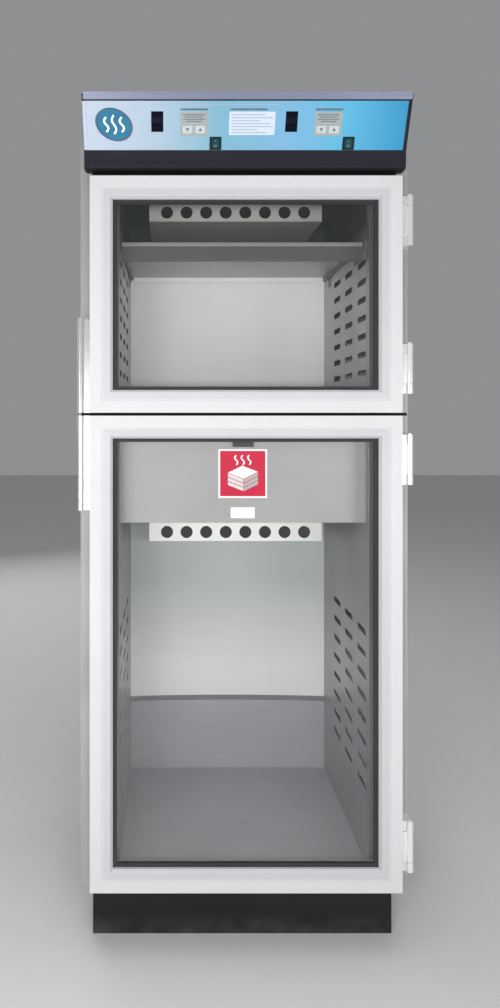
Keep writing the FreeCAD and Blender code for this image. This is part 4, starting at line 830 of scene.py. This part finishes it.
# Glazing: one toughened pane in each door, clear with the faint green of its thickness, held in a
# black rubber channel all round. A soft gasket on the back of the frame meets the face frame.
seal_black = grained("seal_black", (0.030, 0.030, 0.031), (0.018, 0.018, 0.019), 0.0, 0.62, 0.08,
                     500, (1, 1, 1), 0.00003)
pane_glass = grained("pane_glass", (0.80, 0.86, 0.85), (0.76, 0.83, 0.81), 0.9, 0.045, 0.02, 6,
                     (1, 1, 1), 0.0000005)
head_on_shine, glance_power = 0.05, 4.0
tree = pane_glass.node_tree
glance = tree.nodes.new("ShaderNodeLayerWeight")
steepen = tree.nodes.new("ShaderNodeMath")
steepen.operation = "POWER"
steepen.inputs[1].default_value = glance_power
tree.links.new(glance.outputs["Facing"], steepen.inputs[0])
tree.links.new(ranged(tree, steepen.outputs[0], head_on_shine, 1.0),
               tree.nodes["Principled BSDF"].inputs["Alpha"])
for chamber in unit_across:
    eased(f"{chamber}_door_glass", pane_glass, 0.0005)
    eased(f"{chamber}_glazing_seal", seal_black, 0.0006)
    eased(f"{chamber}_door_gasket", seal_black, 0.0008, 3)


# Handles: polished extruded pulls screwed to the opening edge of each door, with a thick outer grip
# and a thin web behind it. Hands keep the grip bright.
handle_polish = grained("handle_polish", (0.86, 0.845, 0.845), (0.78, 0.76, 0.765), 0.8, 0.24,
                        0.06, 320, (1, 1, 0.02), 0.000008)
for chamber in unit_across:
    eased(f"{chamber}_door_handle", handle_polish, 0.0012, 3)
    eased(f"{chamber}_handle_screws", screw_steel, 0.0003)


# Hinges: cast and chromed, two to a door. The leaf on the door and the bracket on the face frame
# share a steel pin, and the doors lift off it once it is drawn.
hinge_chrome = grained("hinge_chrome", (0.90, 0.90, 0.90), (0.84, 0.84, 0.84), 0.6, 0.20, 0.05,
                       120, (1, 1, 1), 0.00001)
eased("frame_hinge_brackets", hinge_chrome, 0.0008, 3)
eased("hinge_pins", hinge_chrome, 0.0004)
for chamber in unit_across:
    eased(f"{chamber}_door_hinge_leaves", hinge_chrome, 0.0008, 3)


# Room: a very large pale floor, an even pale surround and soft lamps to both sides in front, above
# and behind. A narrow lamp straight in front lights the chambers, and nothing mirrors it.
floor_half, floor_sink = 12.0, 0.0005
floor_work = bmesh.new()
bmesh.ops.create_grid(floor_work, x_segments=2, y_segments=2, size=floor_half)
floor_mesh = bpy.data.meshes.new("room_floor")
floor_work.to_mesh(floor_mesh)
floor_work.free()
room_floor = bpy.data.objects.new("room_floor", floor_mesh)
bpy.context.scene.collection.objects.link(room_floor)
room_floor.location.z = -floor_sink
floor_mesh.materials.append(grained("floor_pale", (0.66, 0.66, 0.66), (0.64, 0.64, 0.64), 0.0, 0.7,
                                    0.05, 30, (1, 1, 1), 0.00001))
room_floor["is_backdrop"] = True


def soft_lamp(name, spot, aim, wide, high, watts):
    """A rectangular soft lamp that faces a point."""
    light = bpy.data.lights.new(name, "AREA")
    light.shape = "RECTANGLE"
    light.size, light.size_y, light.energy = wide, high, watts
    lamp = bpy.data.objects.new(name, light)
    bpy.context.scene.collection.objects.link(lamp)
    lamp.location = spot
    lamp.rotation_euler = (Vector(aim) - Vector(spot)).to_track_quat("-Z", "Y").to_euler()
    return lamp


soft_lamp("front_lamp", (-1.15, -2.4, 0.8), (0.0, 0.0, 1.0), 1.2, 1.0, 21)
low_lamp = soft_lamp("low_lamp", (-0.16, -2.05, 1.2), (-0.16, 0.0, 1.2), 1.2, 0.16, 24)
low_lamp.visible_glossy = False
soft_lamp("side_lamp", (1.55, -2.4, 0.8), (0.0, 0.0, 1.0), 1.0, 1.0, 15)
soft_lamp("top_lamp", (0.0, -0.9, 4.2), (0.0, 0.0, 1.0), 2.4, 1.8, 36)
soft_lamp("rear_lamp", (-1.6, 3.4, 2.2), (0.0, 0.0, 1.0), 2.6, 2.4, 36)
room = bpy.data.worlds.new("room")
room.use_nodes = True
room.node_tree.nodes["Background"].inputs["Color"].default_value = (0.80, 0.82, 0.85, 1.0)
room.node_tree.nodes["Background"].inputs["Strength"].default_value = 0.34
bpy.context.scene.world = room
bpy.context.scene.view_settings.view_transform = "Standard"


# Camera: at chest height, a little to the left of the middle and close enough to see both sides of
# the chambers.
camera_lens = bpy.data.cameras.new("camera")
camera_lens.lens = 24.82
camera_lens.sensor_width = 36.0
camera_lens.shift_x = 0.0784
camera_lens.shift_y = -0.0883
camera = bpy.data.objects.new("camera", camera_lens)
bpy.context.scene.collection.objects.link(camera)
camera.location = (-0.1648, -1.8245, 1.1985)
camera.rotation_euler = (math.radians(90), 0.0, 0.0)
bpy.context.scene.camera = camera

low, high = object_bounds()
